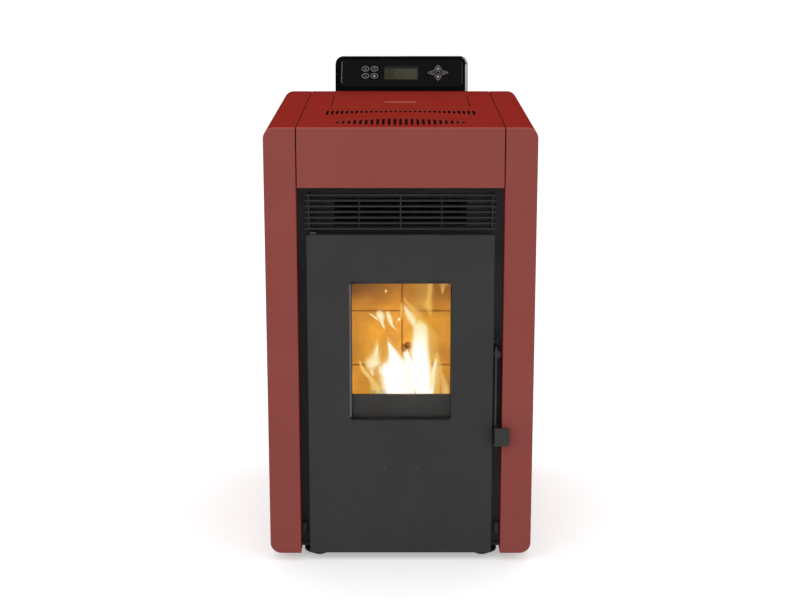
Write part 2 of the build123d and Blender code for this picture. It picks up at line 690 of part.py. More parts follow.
with BuildPart() as door_skin:
    door_z = (DOOR_BOTTOM_Z, DOOR_TOP_Z)
    slab((-DOOR_X, DOOR_X), (DOOR_FACE, DOOR_BACK), door_z)
    fillet(door_skin.edges().filter_by(Axis.Y), DOOR_CORNER)
    fillet(door_skin.faces().sort_by(Axis.Y)[0].edges(), BEND_RADIUS - 0.5)
    slab((-DOOR_X + DOOR_SHEET, DOOR_X - DOOR_SHEET), (DOOR_FACE + DOOR_SHEET, DOOR_BACK + 1),
         (DOOR_BOTTOM_Z + DOOR_SHEET, DOOR_TOP_Z - DOOR_SHEET), Mode.SUBTRACT)
    window_middle = (0, (WINDOW_BOTTOM_Z + WINDOW_TOP_Z) / 2)
    window_size = (2 * WINDOW_X, WINDOW_TOP_Z - WINDOW_BOTTOM_Z)
    with BuildSketch(upright_plane(DOOR_FACE + DOOR_SHEET)) as flange:
        with Locations(window_middle):
            RectangleRounded(window_size[0] + 2 * DOOR_SHEET, window_size[1] + 2 * DOOR_SHEET,
                             WINDOW_CORNER + DOOR_SHEET)
    extrude(amount=-(WINDOW_FLANGE - DOOR_SHEET))
    with BuildSketch(upright_plane(DOOR_FACE - 1)):
        with Locations(window_middle):
            RectangleRounded(*window_size, WINDOW_CORNER)
    extrude(amount=-(WINDOW_FLANGE + 2), mode=Mode.SUBTRACT)
    for boss_x in (-BOSS_X, BOSS_X):
        for boss_z in BOSS_Z:
            rod_y(boss_x, boss_z, BOSS_RADIUS, (DOOR_FACE + DOOR_SHEET, INNER_FRONT))
    # bushes that turn on the hinge pins
    lower_bush_z = LOWER_TAB_Z + LOWER_TAB[1] + HINGE_GAP
    for bush_z in ((lower_bush_z, lower_bush_z + HINGE_PIN_LENGTH + 2),
                   (DOOR_TOP_Z - HINGE_PIN_LENGTH - 2, DOOR_TOP_Z)):
        rod_z(HINGE_X, HINGE_DEPTH, HINGE_PIN_RADIUS + 3, bush_z)
        slab((HINGE_X - 3, HINGE_X + 3), (DOOR_FACE + 1, HINGE_DEPTH), bush_z)
    rod_z(HINGE_X, HINGE_DEPTH, HINGE_PIN_RADIUS + PIN_PLAY,
          (lower_bush_z - 1, lower_bush_z + HINGE_PIN_LENGTH), Mode.SUBTRACT)
    rod_z(HINGE_X, HINGE_DEPTH, HINGE_PIN_RADIUS + PIN_PLAY,
          (DOOR_TOP_Z - HINGE_PIN_LENGTH, DOOR_TOP_Z + 1), Mode.SUBTRACT)
    # notch in the edge return that clears the lower hinge tab as the door swings
    slab((-DOOR_X - 1, -DOOR_X + DOOR_SHEET + 1), (DOOR_FACE + DOOR_SHEET + 1, DOOR_BACK + 1),
         (LOWER_TAB_Z - 2, LOWER_TAB_Z + LOWER_TAB[1] + 2), Mode.SUBTRACT)
    # bore for the handle's pivot and the two rivet holes
    rod_x(HANDLE_PIVOT_DEPTH, HANDLE_PIVOT_Z, PIVOT_RADIUS + PIN_PLAY,
          (DOOR_X - DOOR_SHEET - 1, DOOR_X + 1), Mode.SUBTRACT)
    for rivet_x in (-RIVET_X, RIVET_X):
        rod_y(rivet_x, RIVET_Z, RIVET_RADIUS - 0.6, (DOOR_FACE - 1, DOOR_FACE + DOOR_SHEET + 1),
              Mode.SUBTRACT)
save(door_skin.part, "door_skin")

with BuildPart() as door_hinge_pins:
    tab_x = (HINGE_X - HINGE_TAB_SHIFT - HINGE_TAB[0] / 2,
             HINGE_X - HINGE_TAB_SHIFT + HINGE_TAB[0] / 2)
    upper_z = DOOR_TOP_Z + HINGE_GAP
    lower_x = (HINGE_X - HINGE_PIN_RADIUS - 0.5, HINGE_X - HINGE_PIN_RADIUS - 0.5 + LOWER_TAB[0])
    slab(tab_x, (HINGE_DEPTH - 6, FRAME_DEPTH), (upper_z, upper_z + HINGE_TAB[1]))
    rod_z(HINGE_X, HINGE_DEPTH, HINGE_PIN_RADIUS, (DOOR_TOP_Z - HINGE_PIN_LENGTH + 1, upper_z))
    slab(lower_x, (HINGE_DEPTH - 5, FRAME_DEPTH), (LOWER_TAB_Z, LOWER_TAB_Z + LOWER_TAB[1]))
    rod_z(HINGE_X, HINGE_DEPTH, HINGE_PIN_RADIUS,
          (LOWER_TAB_Z, lower_bush_z + HINGE_PIN_LENGTH - 1))
save(door_hinge_pins.part, "door_hinge_pins")

with BuildPart() as door_inner_frame:
    slab((-INNER_X_HALF, INNER_X_HALF), (INNER_FRONT, INNER_BACK), INNER_Z)
    fillet(door_inner_frame.edges().filter_by(Axis.Y), 8)
    slab((-VIEW_X, VIEW_X), (INNER_FRONT - 1, INNER_BACK + 1), VIEW_Z, Mode.SUBTRACT)
    chamfer(door_inner_frame.faces().sort_by(Axis.Y)[-1].inner_wires()[0].edges(), 4)
    for screw_x in (-BOSS_X, BOSS_X):
        for screw_z in BOSS_Z:
            rod_y(screw_x, screw_z, 2.6, (INNER_FRONT - 1, INNER_BACK + 1), Mode.SUBTRACT)
save(door_inner_frame.part, "door_inner_frame")

with BuildPart() as door_glass:
    slab((-GLASS_X, GLASS_X), (GLASS_FRONT, GLASS_BACK), GLASS_Z)
    chamfer(door_glass.faces().sort_by(Axis.Y)[0].edges(), 0.6)
save(door_glass.part, "door_glass")


def seal_ring(x_half, z_span, width, depth_span):
    """Flat four-sided gasket; x_half and z_span give the middle of its band."""
    half = width / 2
    slab((-x_half - half, x_half + half), depth_span, (z_span[0] - half, z_span[1] + half))
    slab((-x_half + half, x_half - half), (depth_span[0] - 1, depth_span[1] + 1),
         (z_span[0] + half, z_span[1] - half), Mode.SUBTRACT)


GASKET_WIDTH = 8
GASKET_X = WINDOW_X + DOOR_SHEET + 3
GASKET_Z = (WINDOW_BOTTOM_Z - DOOR_SHEET - 3, WINDOW_TOP_Z + DOOR_SHEET + 3)

with BuildPart() as door_seals:
    seal_ring(ROPE_X, ROPE_Z, ROPE_WIDTH, (INNER_BACK, FRAME_DEPTH - MOVING_GAP))
    seal_ring(GASKET_X, GASKET_Z, GASKET_WIDTH, (GLASS_FRONT - GASKET, GLASS_FRONT))
    seal_ring(GASKET_X, GASKET_Z, GASKET_WIDTH, (GLASS_BACK, INNER_FRONT))
save(door_seals.part, "door_seals")

with BuildPart() as door_fasteners:
    for screw_x in (-BOSS_X, BOSS_X):
        for screw_z in BOSS_Z:
            rod_y(screw_x, screw_z, 2.5, (INNER_FRONT, INNER_BACK))
            rod_y(screw_x, screw_z, 4.5, (INNER_BACK, INNER_BACK + 2.5))
    for rivet_x in (-RIVET_X, RIVET_X):
        rod_y(rivet_x, RIVET_Z, RIVET_RADIUS, (DOOR_FACE - RIVET_HEAD, DOOR_FACE))
        rod_y(rivet_x, RIVET_Z, RIVET_RADIUS - 0.6, (DOOR_FACE, DOOR_FACE + DOOR_SHEET))
        rod_y(rivet_x, RIVET_Z, RIVET_RADIUS, (DOOR_FACE + DOOR_SHEET, DOOR_FACE + DOOR_SHEET + 1))
save(door_fasteners.part, "door_fasteners")

with BuildPart() as handle_lever:
    bar_x = (HANDLE_X, HANDLE_X + HANDLE_THICK)
    slab(bar_x, HANDLE_BAR, (HANDLE_BOTTOM_Z, HANDLE_TOP_Z))
    fillet(handle_lever.edges().filter_by(Axis.X), 2)
    slab(bar_x, (-HANDLE_PROUD + HANDLE_TAB_THICK, HANDLE_BAR[1] - 4), HANDLE_TAB_Z)
    slab(bar_x, (HANDLE_BAR[1] - 1, TONGUE_REACH),
         (HANDLE_TOP_Z - TONGUE_DROP - TONGUE_HEIGHT, HANDLE_TOP_Z - TONGUE_DROP))
    with BuildSketch(upright_plane(-HANDLE_PROUD)) as tab:
        with Locations(((HANDLE_X + HANDLE_TAB_X) / 2, sum(HANDLE_TAB_Z) / 2)):
            Rectangle(HANDLE_TAB_X - HANDLE_X, HANDLE_TAB_Z[1] - HANDLE_TAB_Z[0])
        fillet(tab.vertices().group_by(Axis.X)[-1], HANDLE_TAB_CORNER)
    extrude(amount=-HANDLE_TAB_THICK)
    rod_x(HANDLE_PIVOT_DEPTH, HANDLE_PIVOT_Z, PIVOT_RADIUS + PIN_PLAY,
          (HANDLE_X - 1, HANDLE_X + HANDLE_THICK + 1), Mode.SUBTRACT)
save(handle_lever.part, "handle_lever")

with BuildPart() as handle_pivot:
    head_x = HANDLE_X + HANDLE_THICK + 0.5
    rod_x(HANDLE_PIVOT_DEPTH, HANDLE_PIVOT_Z, PIVOT_RADIUS, (DOOR_X - DOOR_SHEET - 3, head_x))
    with Locations((head_x + PIVOT_HEAD[2] / 2, FRONT_Y + HANDLE_PIVOT_DEPTH, HANDLE_PIVOT_Z)):
        Cone(*PIVOT_HEAD, rotation=(0, 90, 0))
    rod_x(HANDLE_PIVOT_DEPTH, HANDLE_PIVOT_Z, PIVOT_NUT,
          (DOOR_X - DOOR_SHEET - 5, DOOR_X - DOOR_SHEET))
    rod_x(HANDLE_PIVOT_DEPTH, HANDLE_PIVOT_Z, PIVOT_NUT - 1,
          (DOOR_X, HANDLE_X - 0.5))
save(handle_pivot.part, "handle_pivot")

with BuildPart() as latch_keeper:
    keeper_z = HANDLE_TOP_Z - TONGUE_DROP + KEEPER_GAP
    keeper_x = (HANDLE_X - 3, HANDLE_X + HANDLE_THICK + 3)
    slab(keeper_x, (FRAME_DEPTH - 2, FRAME_DEPTH), (keeper_z, keeper_z + 22))
    slab((keeper_x[0], keeper_x[0] + 2), (TONGUE_REACH - 6, FRAME_DEPTH), (keeper_z, keeper_z + 14))
    slab((keeper_x[1] - 2, keeper_x[1]), (TONGUE_REACH - 6, FRAME_DEPTH), (keeper_z, keeper_z + 14))
    rod_x(TONGUE_REACH - 2, keeper_z + 5, 3, keeper_x)
save(latch_keeper.part, "latch_keeper")

# ---------------------------------------------------------------- firebox

AUGER_UP = (0, -cos(AUGER_TILT), sin(AUGER_TILT))
AUGER_LOW = (0, FRONT_Y + AUGER_LOW_DEPTH, AUGER_LOW_Z)
AUGER_PLANE = Plane(origin=AUGER_LOW, x_dir=(1, 0, 0), z_dir=AUGER_UP)
AUGER_HIGH_DEPTH = AUGER_LOW_DEPTH - AUGER_LENGTH * cos(AUGER_TILT)
AUGER_HIGH_Z = AUGER_LOW_Z + AUGER_LENGTH * sin(AUGER_TILT)
EXCHANGER_XS = [EXCHANGER_PITCH * (index - (EXCHANGER_TUBES - 1) / 2)
                for index in range(EXCHANGER_TUBES)]


def auger_cut(play):
    """Opening that the sloping auger tube passes through."""
    with Locations(AUGER_PLANE):
        Cylinder(AUGER_RADIUS + play, 2 * AUGER_LENGTH, mode=Mode.SUBTRACT)


with BuildPart() as firebox_shell:
    slab((-FIREBOX_X, FIREBOX_X), (FRAME_BACK, FIREBOX_BACK), (FIREBOX_BOTTOM_Z, FIREBOX_TOP_Z))
    slab((-FIREBOX_IN_X, FIREBOX_IN_X), (FIREBOX_IN_FRONT, FIREBOX_IN_BACK),
         (FIREBOX_FLOOR_Z, FIREBOX_TOP_Z - FIREBOX_WALL), Mode.SUBTRACT)
    slab((-MOUTH_X, MOUTH_X), (FRAME_BACK - 1, FIREBOX_IN_FRONT + 1),
         (FIREBOX_FLOOR_Z, MOUTH_TOP_Z), Mode.SUBTRACT)
    for tube_x in EXCHANGER_XS:
        rod_y(tube_x, EXCHANGER_Z, EXCHANGER_RADIUS, (FRAME_BACK - 1, FIREBOX_BACK + 1),
              Mode.SUBTRACT)
    slab((-FIREBOX_X - 1, -FIREBOX_IN_X + 1), (DUCT_UPRIGHT[0] + 5, DUCT_UPRIGHT[1] - 5),
         SMOKE_WINDOW_Z, Mode.SUBTRACT)
    rod_y(INTAKE_X, INTAKE_Z, INTAKE_RADIUS - 11, (FIREBOX_IN_BACK - 1, FIREBOX_BACK + 1),
          Mode.SUBTRACT)
    rod_y(IGNITOR_X, IGNITOR_Z, IGNITOR_RADIUS, (FIREBOX_IN_BACK - 1, FIREBOX_BACK + 1),
          Mode.SUBTRACT)
    auger_cut(0)
save(firebox_shell.part, "firebox_shell")

with BuildPart() as firebox_supports:
    for side in (-1, 1):
        leg_x = (side * LEG_X, side * (LEG_X - LEG_THICK))
        flange_x = (side * LEG_X, side * (LEG_X - LEG_FOOT))
        slab(leg_x, LEG_DEPTHS, (BASE_TOP_Z, FIREBOX_BOTTOM_Z))
        slab(flange_x, LEG_DEPTHS, (BASE_TOP_Z, BASE_TOP_Z + LEG_THICK))
        slab(flange_x, LEG_DEPTHS, (FIREBOX_BOTTOM_Z - LEG_THICK, FIREBOX_BOTTOM_Z))
        slab((side * FIREBOX_IN_X, side * (FIREBOX_IN_X - SIDE_BRICK)),
             (SIDE_BRICK_FRONT, REAR_BRICK_FACE - 1), (BRICK_BOTTOM_Z - LEDGE, BRICK_BOTTOM_Z))
        slab((side * FIREBOX_IN_X, side * (FIREBOX_IN_X - BAFFLE_LEDGE)),
             (BAFFLE_FRONT, REAR_BRICK_FACE - 2), (BAFFLE_Z - LEDGE, BAFFLE_Z))
    slab((-FIREBOX_IN_X, FIREBOX_IN_X), (REAR_BRICK_FACE, FIREBOX_IN_BACK),
         (BRICK_BOTTOM_Z - LEDGE, BRICK_BOTTOM_Z))
save(firebox_supports.part, "firebox_supports")

with BuildPart() as rear_firebricks:
    for row in range(BRICK_ROWS):
        row_z = (BRICK_BOTTOM_Z + row * BRICK_HEIGHT,
                 BRICK_BOTTOM_Z + (row + 1) * BRICK_HEIGHT - BRICK_JOINT)
        for column_x in ((-FIREBOX_IN_X + MOVING_GAP, BRICK_JOINT_X - BRICK_JOINT / 2),
                         (BRICK_JOINT_X + BRICK_JOINT / 2, FIREBOX_IN_X - MOVING_GAP)):
            slab(column_x, (REAR_BRICK_FACE, FIREBOX_IN_BACK), row_z)
    slab((-CRADLE_X - 1, CRADLE_X + 1), (REAR_BRICK_FACE - 1, FIREBOX_IN_BACK + 1),
         (BRICK_BOTTOM_Z - 1, CRADLE_Z[1] + 1), Mode.SUBTRACT)
    auger_cut(CUTOUT_PLAY)
    rod_y(*BRICK_HOLE, BRICK_HOLE_RADIUS, (REAR_BRICK_FACE - 1, REAR_BRICK_FACE + BRICK_HOLE_DEEP),
          Mode.SUBTRACT)
save(rear_firebricks.part, "rear_firebricks")

with BuildPart() as side_firebricks:
    brick_span = REAR_BRICK_FACE - 0.5 - SIDE_BRICK_FRONT
    for side in (-1, 1):
        for row in range(BRICK_ROWS):
            row_z = (BRICK_BOTTOM_Z + row * BRICK_HEIGHT,
                     BRICK_BOTTOM_Z + (row + 1) * BRICK_HEIGHT - BRICK_JOINT)
            for column in range(2):
                start = SIDE_BRICK_FRONT + column * brick_span / 2
                slab((side * (FIREBOX_IN_X - MOVING_GAP), side * (FIREBOX_IN_X - SIDE_BRICK)),
                     (start, start + brick_span / 2 - BRICK_JOINT), row_z)
save(side_firebricks.part, "side_firebricks")

with BuildPart() as baffle_plate:
    slab((-FIREBOX_IN_X + 0.5, FIREBOX_IN_X - 0.5), (BAFFLE_FRONT, FIREBOX_IN_BACK - 0.5),
         (BAFFLE_Z, BAFFLE_Z + BAFFLE_THICK))
    for grip_x in (-60, 60):
        slab((grip_x - 20, grip_x + 20), (BAFFLE_FRONT + 14, BAFFLE_FRONT + 24),
             (BAFFLE_Z - 1, BAFFLE_Z + BAFFLE_THICK + 1), Mode.SUBTRACT)
save(baffle_plate.part, "baffle_plate")

with BuildPart() as exchanger_tubes:
    for tube_x in EXCHANGER_XS:
        rod_y(tube_x, EXCHANGER_Z, EXCHANGER_RADIUS, (FRAME_BACK, FIREBOX_BACK + 6))
        rod_y(tube_x, EXCHANGER_Z, EXCHANGER_RADIUS - EXCHANGER_WALL,
              (FRAME_BACK - 1, FIREBOX_BACK + 7), Mode.SUBTRACT)
save(exchanger_tubes.part, "exchanger_tubes")

with BuildPart() as pot_cradle:
    slab((-CRADLE_X, CRADLE_X), (CRADLE_FRONT, FIREBOX_IN_BACK), CRADLE_Z)
    slab((-CRADLE_X + CRADLE_WALL, CRADLE_X - CRADLE_WALL),
         (CRADLE_FRONT + CRADLE_WALL, POT_DEPTHS[1] + POT_RIM - 1),
         (CRADLE_Z[0] + CRADLE_WALL, CRADLE_Z[1] + 1), Mode.SUBTRACT)
    slab((-CRADLE_X + CRADLE_WALL, CRADLE_X - CRADLE_WALL),
         (CRADLE_FRONT + 20, FIREBOX_IN_BACK + 1),
         (CRADLE_Z[0] + CRADLE_WALL, CRADLE_Z[1] - CRADLE_WALL), Mode.SUBTRACT)
save(pot_cradle.part, "pot_cradle")

with BuildPart() as burn_pot:
    slab((-POT_X, POT_X), POT_DEPTHS, (POT_BOTTOM_Z, POT_TOP_Z))
    fillet(burn_pot.edges().filter_by(Axis.Z), 8)
    slab((-CRADLE_X, CRADLE_X), (CRADLE_FRONT, POT_DEPTHS[1] + POT_RIM),
         (CRADLE_Z[1], CRADLE_Z[1] + POT_WALL))
    pot_middle = (POT_DEPTHS[0] + POT_DEPTHS[1]) / 2
    pot_span = POT_DEPTHS[1] - POT_DEPTHS[0]
    with BuildSketch(top_plane(POT_TOP_Z)):
        with Locations((0, pot_middle)):
            RectangleRounded(2 * (POT_X - POT_WALL), pot_span - 2 * POT_WALL, 6)
    extrude(amount=-(POT_TOP_Z - POT_BOTTOM_Z - POT_WALL), mode=Mode.SUBTRACT)
    with BuildSketch(top_plane(POT_BOTTOM_Z)):
        with Locations((0, pot_middle)):
            with GridLocations(13, 13, 7, 6):
                Circle(2.5)
    extrude(amount=POT_WALL, mode=Mode.SUBTRACT)
save(burn_pot.part, "burn_pot")

with BuildPart() as ash_drawer:
    drawer_z = (FIREBOX_FLOOR_Z, FIREBOX_FLOOR_Z + DRAWER_HEIGHT)
    slab((-DRAWER_X, DRAWER_X), DRAWER_DEPTHS, drawer_z)
    slab((-DRAWER_X + DRAWER_WALL, DRAWER_X - DRAWER_WALL),
         (DRAWER_DEPTHS[0] + DRAWER_WALL, DRAWER_DEPTHS[1] - DRAWER_WALL),
         (drawer_z[0] + DRAWER_WALL, drawer_z[1] + 1), Mode.SUBTRACT)
    # folded pull along the front edge
    slab((-35, 35), (DRAWER_DEPTHS[0] - 5, DRAWER_DEPTHS[0]),
         (drawer_z[1] - 8 - DRAWER_WALL, drawer_z[1] - 8))
    slab((-35, 35), (DRAWER_DEPTHS[0] - 5, DRAWER_DEPTHS[0] - 5 + DRAWER_WALL),
         (drawer_z[1] - 18, drawer_z[1] - 8))
save(ash_drawer.part, "ash_drawer")

with BuildPart() as ignitor:
    rod_y(IGNITOR_X, IGNITOR_Z, IGNITOR_RADIUS - 1, (IGNITOR_TIP, IGNITOR_TIP + IGNITOR_LENGTH))
    rod_y(IGNITOR_X, IGNITOR_Z, IGNITOR_RADIUS, (FIREBOX_IN_BACK, FIREBOX_BACK + 8))
    rod_y(IGNITOR_X, IGNITOR_Z, IGNITOR_RADIUS + 5, (FIREBOX_BACK, FIREBOX_BACK + 4))
save(ignitor.part, "ignitor")

# ---------------------------------------------------------------- pellet feed

with BuildPart() as auger_tube:
    with Locations(AUGER_PLANE):
        Cylinder(AUGER_RADIUS, AUGER_LENGTH, align=(Align.CENTER, Align.CENTER, Align.MIN))
    # saddle under the hopper throat
    slab((-THROAT_X - 3, THROAT_X + 3), (THROAT_DEPTHS[0] - 3, THROAT_DEPTHS[1] + 3),
         (AUGER_LOW_Z + 20, THROAT_Z))
    slab((-THROAT_X, THROAT_X), THROAT_DEPTHS, (AUGER_LOW_Z + 21, THROAT_Z + 1), Mode.SUBTRACT)
    with Locations(AUGER_PLANE):
        Cylinder(AUGER_RADIUS - AUGER_WALL, AUGER_LENGTH + 1, mode=Mode.SUBTRACT,
                 align=(Align.CENTER, Align.CENTER, Align.MIN))
    with Locations(AUGER_PLANE):
        Cylinder(AUGER_RADIUS, 3, align=(Align.CENTER, Align.CENTER, Align.MIN))
    with Locations(AUGER_PLANE):
        Cylinder(AUGER_SHAFT + PIN_PLAY, 10, mode=Mode.SUBTRACT)
save(auger_tube.part, "auger_tube")

FLIGHT_START = 12
FLIGHT_LENGTH = AUGER_LENGTH - FLIGHT_START - 16

flight_root = AUGER_PLANE.offset(FLIGHT_START).origin

with BuildPart() as auger_screw:
    with BuildLine():
        helix_radius = (AUGER_SHAFT + AUGER_FLIGHT) / 2 - 1
        turns = Helix(AUGER_PITCH, FLIGHT_LENGTH, helix_radius, center=tuple(flight_root),
                      direction=AUGER_UP)
    with BuildSketch(Plane(origin=turns @ 0, x_dir=(turns @ 0) - flight_root, z_dir=turns % 0)):
        Rectangle(AUGER_FLIGHT - AUGER_SHAFT + 2, AUGER_FLIGHT_THICK)
    sweep(path=turns, is_frenet=True)
    with Locations(AUGER_PLANE.offset(-20)):
        Cylinder(AUGER_SHAFT, AUGER_LENGTH + 12, align=(Align.CENTER, Align.CENTER, Align.MIN))
save(auger_screw.part, "auger_screw")

with BuildPart() as auger_gearmotor:
    with Locations(AUGER_PLANE):
        Cylinder(GEARMOTOR_RADIUS, 22, align=(Align.CENTER, Align.CENTER, Align.MAX))
    with Locations(AUGER_PLANE.offset(-22)):
        Cylinder(GEARMOTOR_RADIUS - 7, GEARMOTOR_LENGTH - 22,
                 align=(Align.CENTER, Align.CENTER, Align.MAX))
    with Locations(AUGER_PLANE):
        with PolarLocations(GEARMOTOR_RADIUS - 2, 4, start_angle=45):
            Cylinder(5, 6, align=(Align.CENTER, Align.CENTER, Align.MAX))
    with Locations(AUGER_PLANE):
        Cylinder(AUGER_SHAFT + PIN_PLAY, 42, mode=Mode.SUBTRACT)
save(auger_gearmotor.part, "auger_gearmotor")


def bin_outline(z, x_half, depths, grow):
    """Level rectangle across the hopper, grown outwards or shrunk inwards."""
    with BuildSketch(top_plane(z)) as outline:
        with Locations((0, (depths[0] + depths[1]) / 2)):
            Rectangle(2 * (x_half + grow), depths[1] - depths[0] + 2 * grow)
    return outline.sketch


with BuildPart() as pellet_hopper:
    bin_outside = bin_outline(HOPPER_BOTTOM_Z, HOPPER_X, HOPPER_DEPTHS, 0)
    bin_inside = bin_outline(HOPPER_BOTTOM_Z, HOPPER_X, HOPPER_DEPTHS, -SHEET)
    throat_outside = bin_outline(THROAT_Z, THROAT_X, THROAT_DEPTHS, SHEET)
    throat_inside = bin_outline(THROAT_Z, THROAT_X, THROAT_DEPTHS, 0)
    extrude(bin_outside, amount=COVER_UNDER_Z - COVER_FLANGE - HOPPER_BOTTOM_Z)
    loft([throat_outside.face(), bin_outside.face()])
    extrude(bin_inside, amount=TOP_Z - HOPPER_BOTTOM_Z, mode=Mode.SUBTRACT)
    loft([throat_inside.face(), bin_inside.face()], mode=Mode.SUBTRACT)
    # rim posts that hang the bin from the cover
    for side in (-1, 1):
        slab((side * HOPPER_X, side * (HOPPER_X - SHEET)), HOPPER_DEPTHS,
             (HOPPER_BOTTOM_Z, COVER_UNDER_Z))
save(pellet_hopper.part, "pellet_hopper")

with BuildPart() as pellet_chute:
    chute_top = AUGER_HIGH_Z - AUGER_RADIUS * cos(AUGER_TILT)
    chute_start = AUGER_HIGH_DEPTH - AUGER_RADIUS * sin(AUGER_TILT)
    with BuildSketch(side_plane(-CHUTE_X)):
        with BuildLine():
            Polyline((chute_start, chute_top), (chute_start - 20, chute_top - 20),
                     (chute_start - 20, chute_top + 8), (chute_start, chute_top + 26), close=True)
        make_face()
    extrude(amount=2 * CHUTE_X)
    with BuildSketch(side_plane(-CHUTE_X + CHUTE_SHEET)):
        with BuildLine():
            Polyline((chute_start + 1, chute_top + 3), (chute_start - 21, chute_top - 18),
                     (chute_start - 21, chute_top + 20), (chute_start + 1, chute_top + 40),
                     close=True)
        make_face()
    extrude(amount=2 * (CHUTE_X - CHUTE_SHEET), mode=Mode.SUBTRACT)
save(pellet_chute.part, "pellet_chute")

# ---------------------------------------------------------------- smoke path

with BuildPart() as smoke_duct:
    for grow, operation in ((0, Mode.ADD), (-DUCT_WALL, Mode.SUBTRACT)):
        with BuildSketch(side_plane(DUCT_X[0] - grow)):
            with BuildLine():
                Polyline((DUCT_UPRIGHT[0] - grow, DUCT_Z[0] - grow),
                         (DUCT_BACK + grow, DUCT_Z[0] - grow),
                         (DUCT_BACK + grow, DUCT_Z[1] + grow),
                         (DUCT_UPRIGHT[1] + grow, DUCT_Z[1] + grow),
                         (DUCT_UPRIGHT[1] + grow, DUCT_TOP_Z + grow),
                         (DUCT_UPRIGHT[0] - grow, DUCT_TOP_Z + grow), close=True)
            make_face()
        extrude(amount=DUCT_X[1] - DUCT_X[0] + 2 * grow, mode=operation)
    slab((DUCT_X[1] - DUCT_WALL - 1, DUCT_X[1] + 1), (DUCT_UPRIGHT[0] + 5, DUCT_UPRIGHT[1] - 5),
         SMOKE_WINDOW_Z, Mode.SUBTRACT)
    rod_x(VOLUTE_DEPTH, VOLUTE_Z, VOLUTE_EYE, (DUCT_X[1] - DUCT_WALL - 1, DUCT_X[1] + 1),
          Mode.SUBTRACT)
save(smoke_duct.part, "smoke_duct")

VOLUTE_IN_X = (VOLUTE_X[0] + VOLUTE_WALL, VOLUTE_X[1] - VOLUTE_WALL)
FLUE_X = (VOLUTE_X[0] + VOLUTE_X[1]) / 2

with BuildPart() as exhaust_fan_housing:
    outlet_z = (FLUE_Z - VOLUTE_OUTLET, FLUE_Z + VOLUTE_OUTLET)
    rod_x(VOLUTE_DEPTH, VOLUTE_Z, VOLUTE_RADIUS, VOLUTE_X)
    slab(VOLUTE_X, (VOLUTE_DEPTH, FLUE_FLANGE_DEPTH), outlet_z)
    flange = FLUE_RADIUS + FLUE_FLANGE_RIM
    slab((FLUE_X - flange, FLUE_X + flange),
         (FLUE_FLANGE_DEPTH - FLUE_FLANGE_THICK, FLUE_FLANGE_DEPTH), (FLUE_Z - flange, FLUE_Z + flange))
    rod_x(VOLUTE_DEPTH, VOLUTE_Z, VOLUTE_RADIUS - VOLUTE_WALL, VOLUTE_IN_X, Mode.SUBTRACT)
    slab(VOLUTE_IN_X, (VOLUTE_DEPTH, FLUE_FLANGE_DEPTH + 1),
         (outlet_z[0] + VOLUTE_WALL, outlet_z[1] - VOLUTE_WALL), Mode.SUBTRACT)
    rod_x(VOLUTE_DEPTH, VOLUTE_Z, VOLUTE_EYE, (VOLUTE_X[0] - 1, VOLUTE_IN_X[0] + 1),
          Mode.SUBTRACT)
    rod_x(VOLUTE_DEPTH, VOLUTE_Z, FAN_SHAFT + 1, (VOLUTE_IN_X[1] - 1, VOLUTE_X[1] + 1),
          Mode.SUBTRACT)
save(exhaust_fan_housing.part, "exhaust_fan_housing")

with BuildPart() as exhaust_impeller:
    disc_x = VOLUTE_IN_X[1] - IMPELLER_PLAY[1]
    blade_x = VOLUTE_IN_X[0] + IMPELLER_PLAY[0]
    rod_x(VOLUTE_DEPTH, VOLUTE_Z, IMPELLER_RADIUS, (disc_x, disc_x + IMPELLER_DISC))
    rod_x(VOLUTE_DEPTH, VOLUTE_Z, IMPELLER_HUB[0], (disc_x - IMPELLER_HUB[1], disc_x))
    with BuildSketch(side_plane(blade_x)):
        with Locations((VOLUTE_DEPTH, VOLUTE_Z)):
            with PolarLocations(IMPELLER_BLADE_MIDDLE, IMPELLER_BLADES):
                Rectangle(*IMPELLER_BLADE, rotation=22)
    extrude(amount=disc_x - blade_x)
    rod_x(VOLUTE_DEPTH, VOLUTE_Z, FAN_SHAFT,
          (disc_x - IMPELLER_HUB[1] - IMPELLER_DISC, VOLUTE_X[1] + SHAFT_REACH))
save(exhaust_impeller.part, "exhaust_impeller")

with BuildPart() as exhaust_motor:
    motor_x = [VOLUTE_X[1] + reach for reach in EXHAUST_MOTOR_SPAN]
    rod_x(VOLUTE_DEPTH, VOLUTE_Z, EXHAUST_MOTOR_RADIUS, motor_x[:2])
    rod_x(VOLUTE_DEPTH, VOLUTE_Z, EXHAUST_MOTOR_BELL, motor_x[1:])
    with Locations(side_plane(VOLUTE_X[1])):
        with Locations((VOLUTE_DEPTH, VOLUTE_Z)):
            with PolarLocations(MOTOR_POST[1], 3, start_angle=90):
                Cylinder(MOTOR_POST[0], EXHAUST_MOTOR_SPAN[0] + 1,
                         align=(Align.CENTER, Align.CENTER, Align.MIN))
    rod_x(VOLUTE_DEPTH, VOLUTE_Z, FAN_SHAFT + PIN_PLAY,
          (VOLUTE_X[1], VOLUTE_X[1] + SHAFT_REACH + 1), Mode.SUBTRACT)
save(exhaust_motor.part, "exhaust_motor")

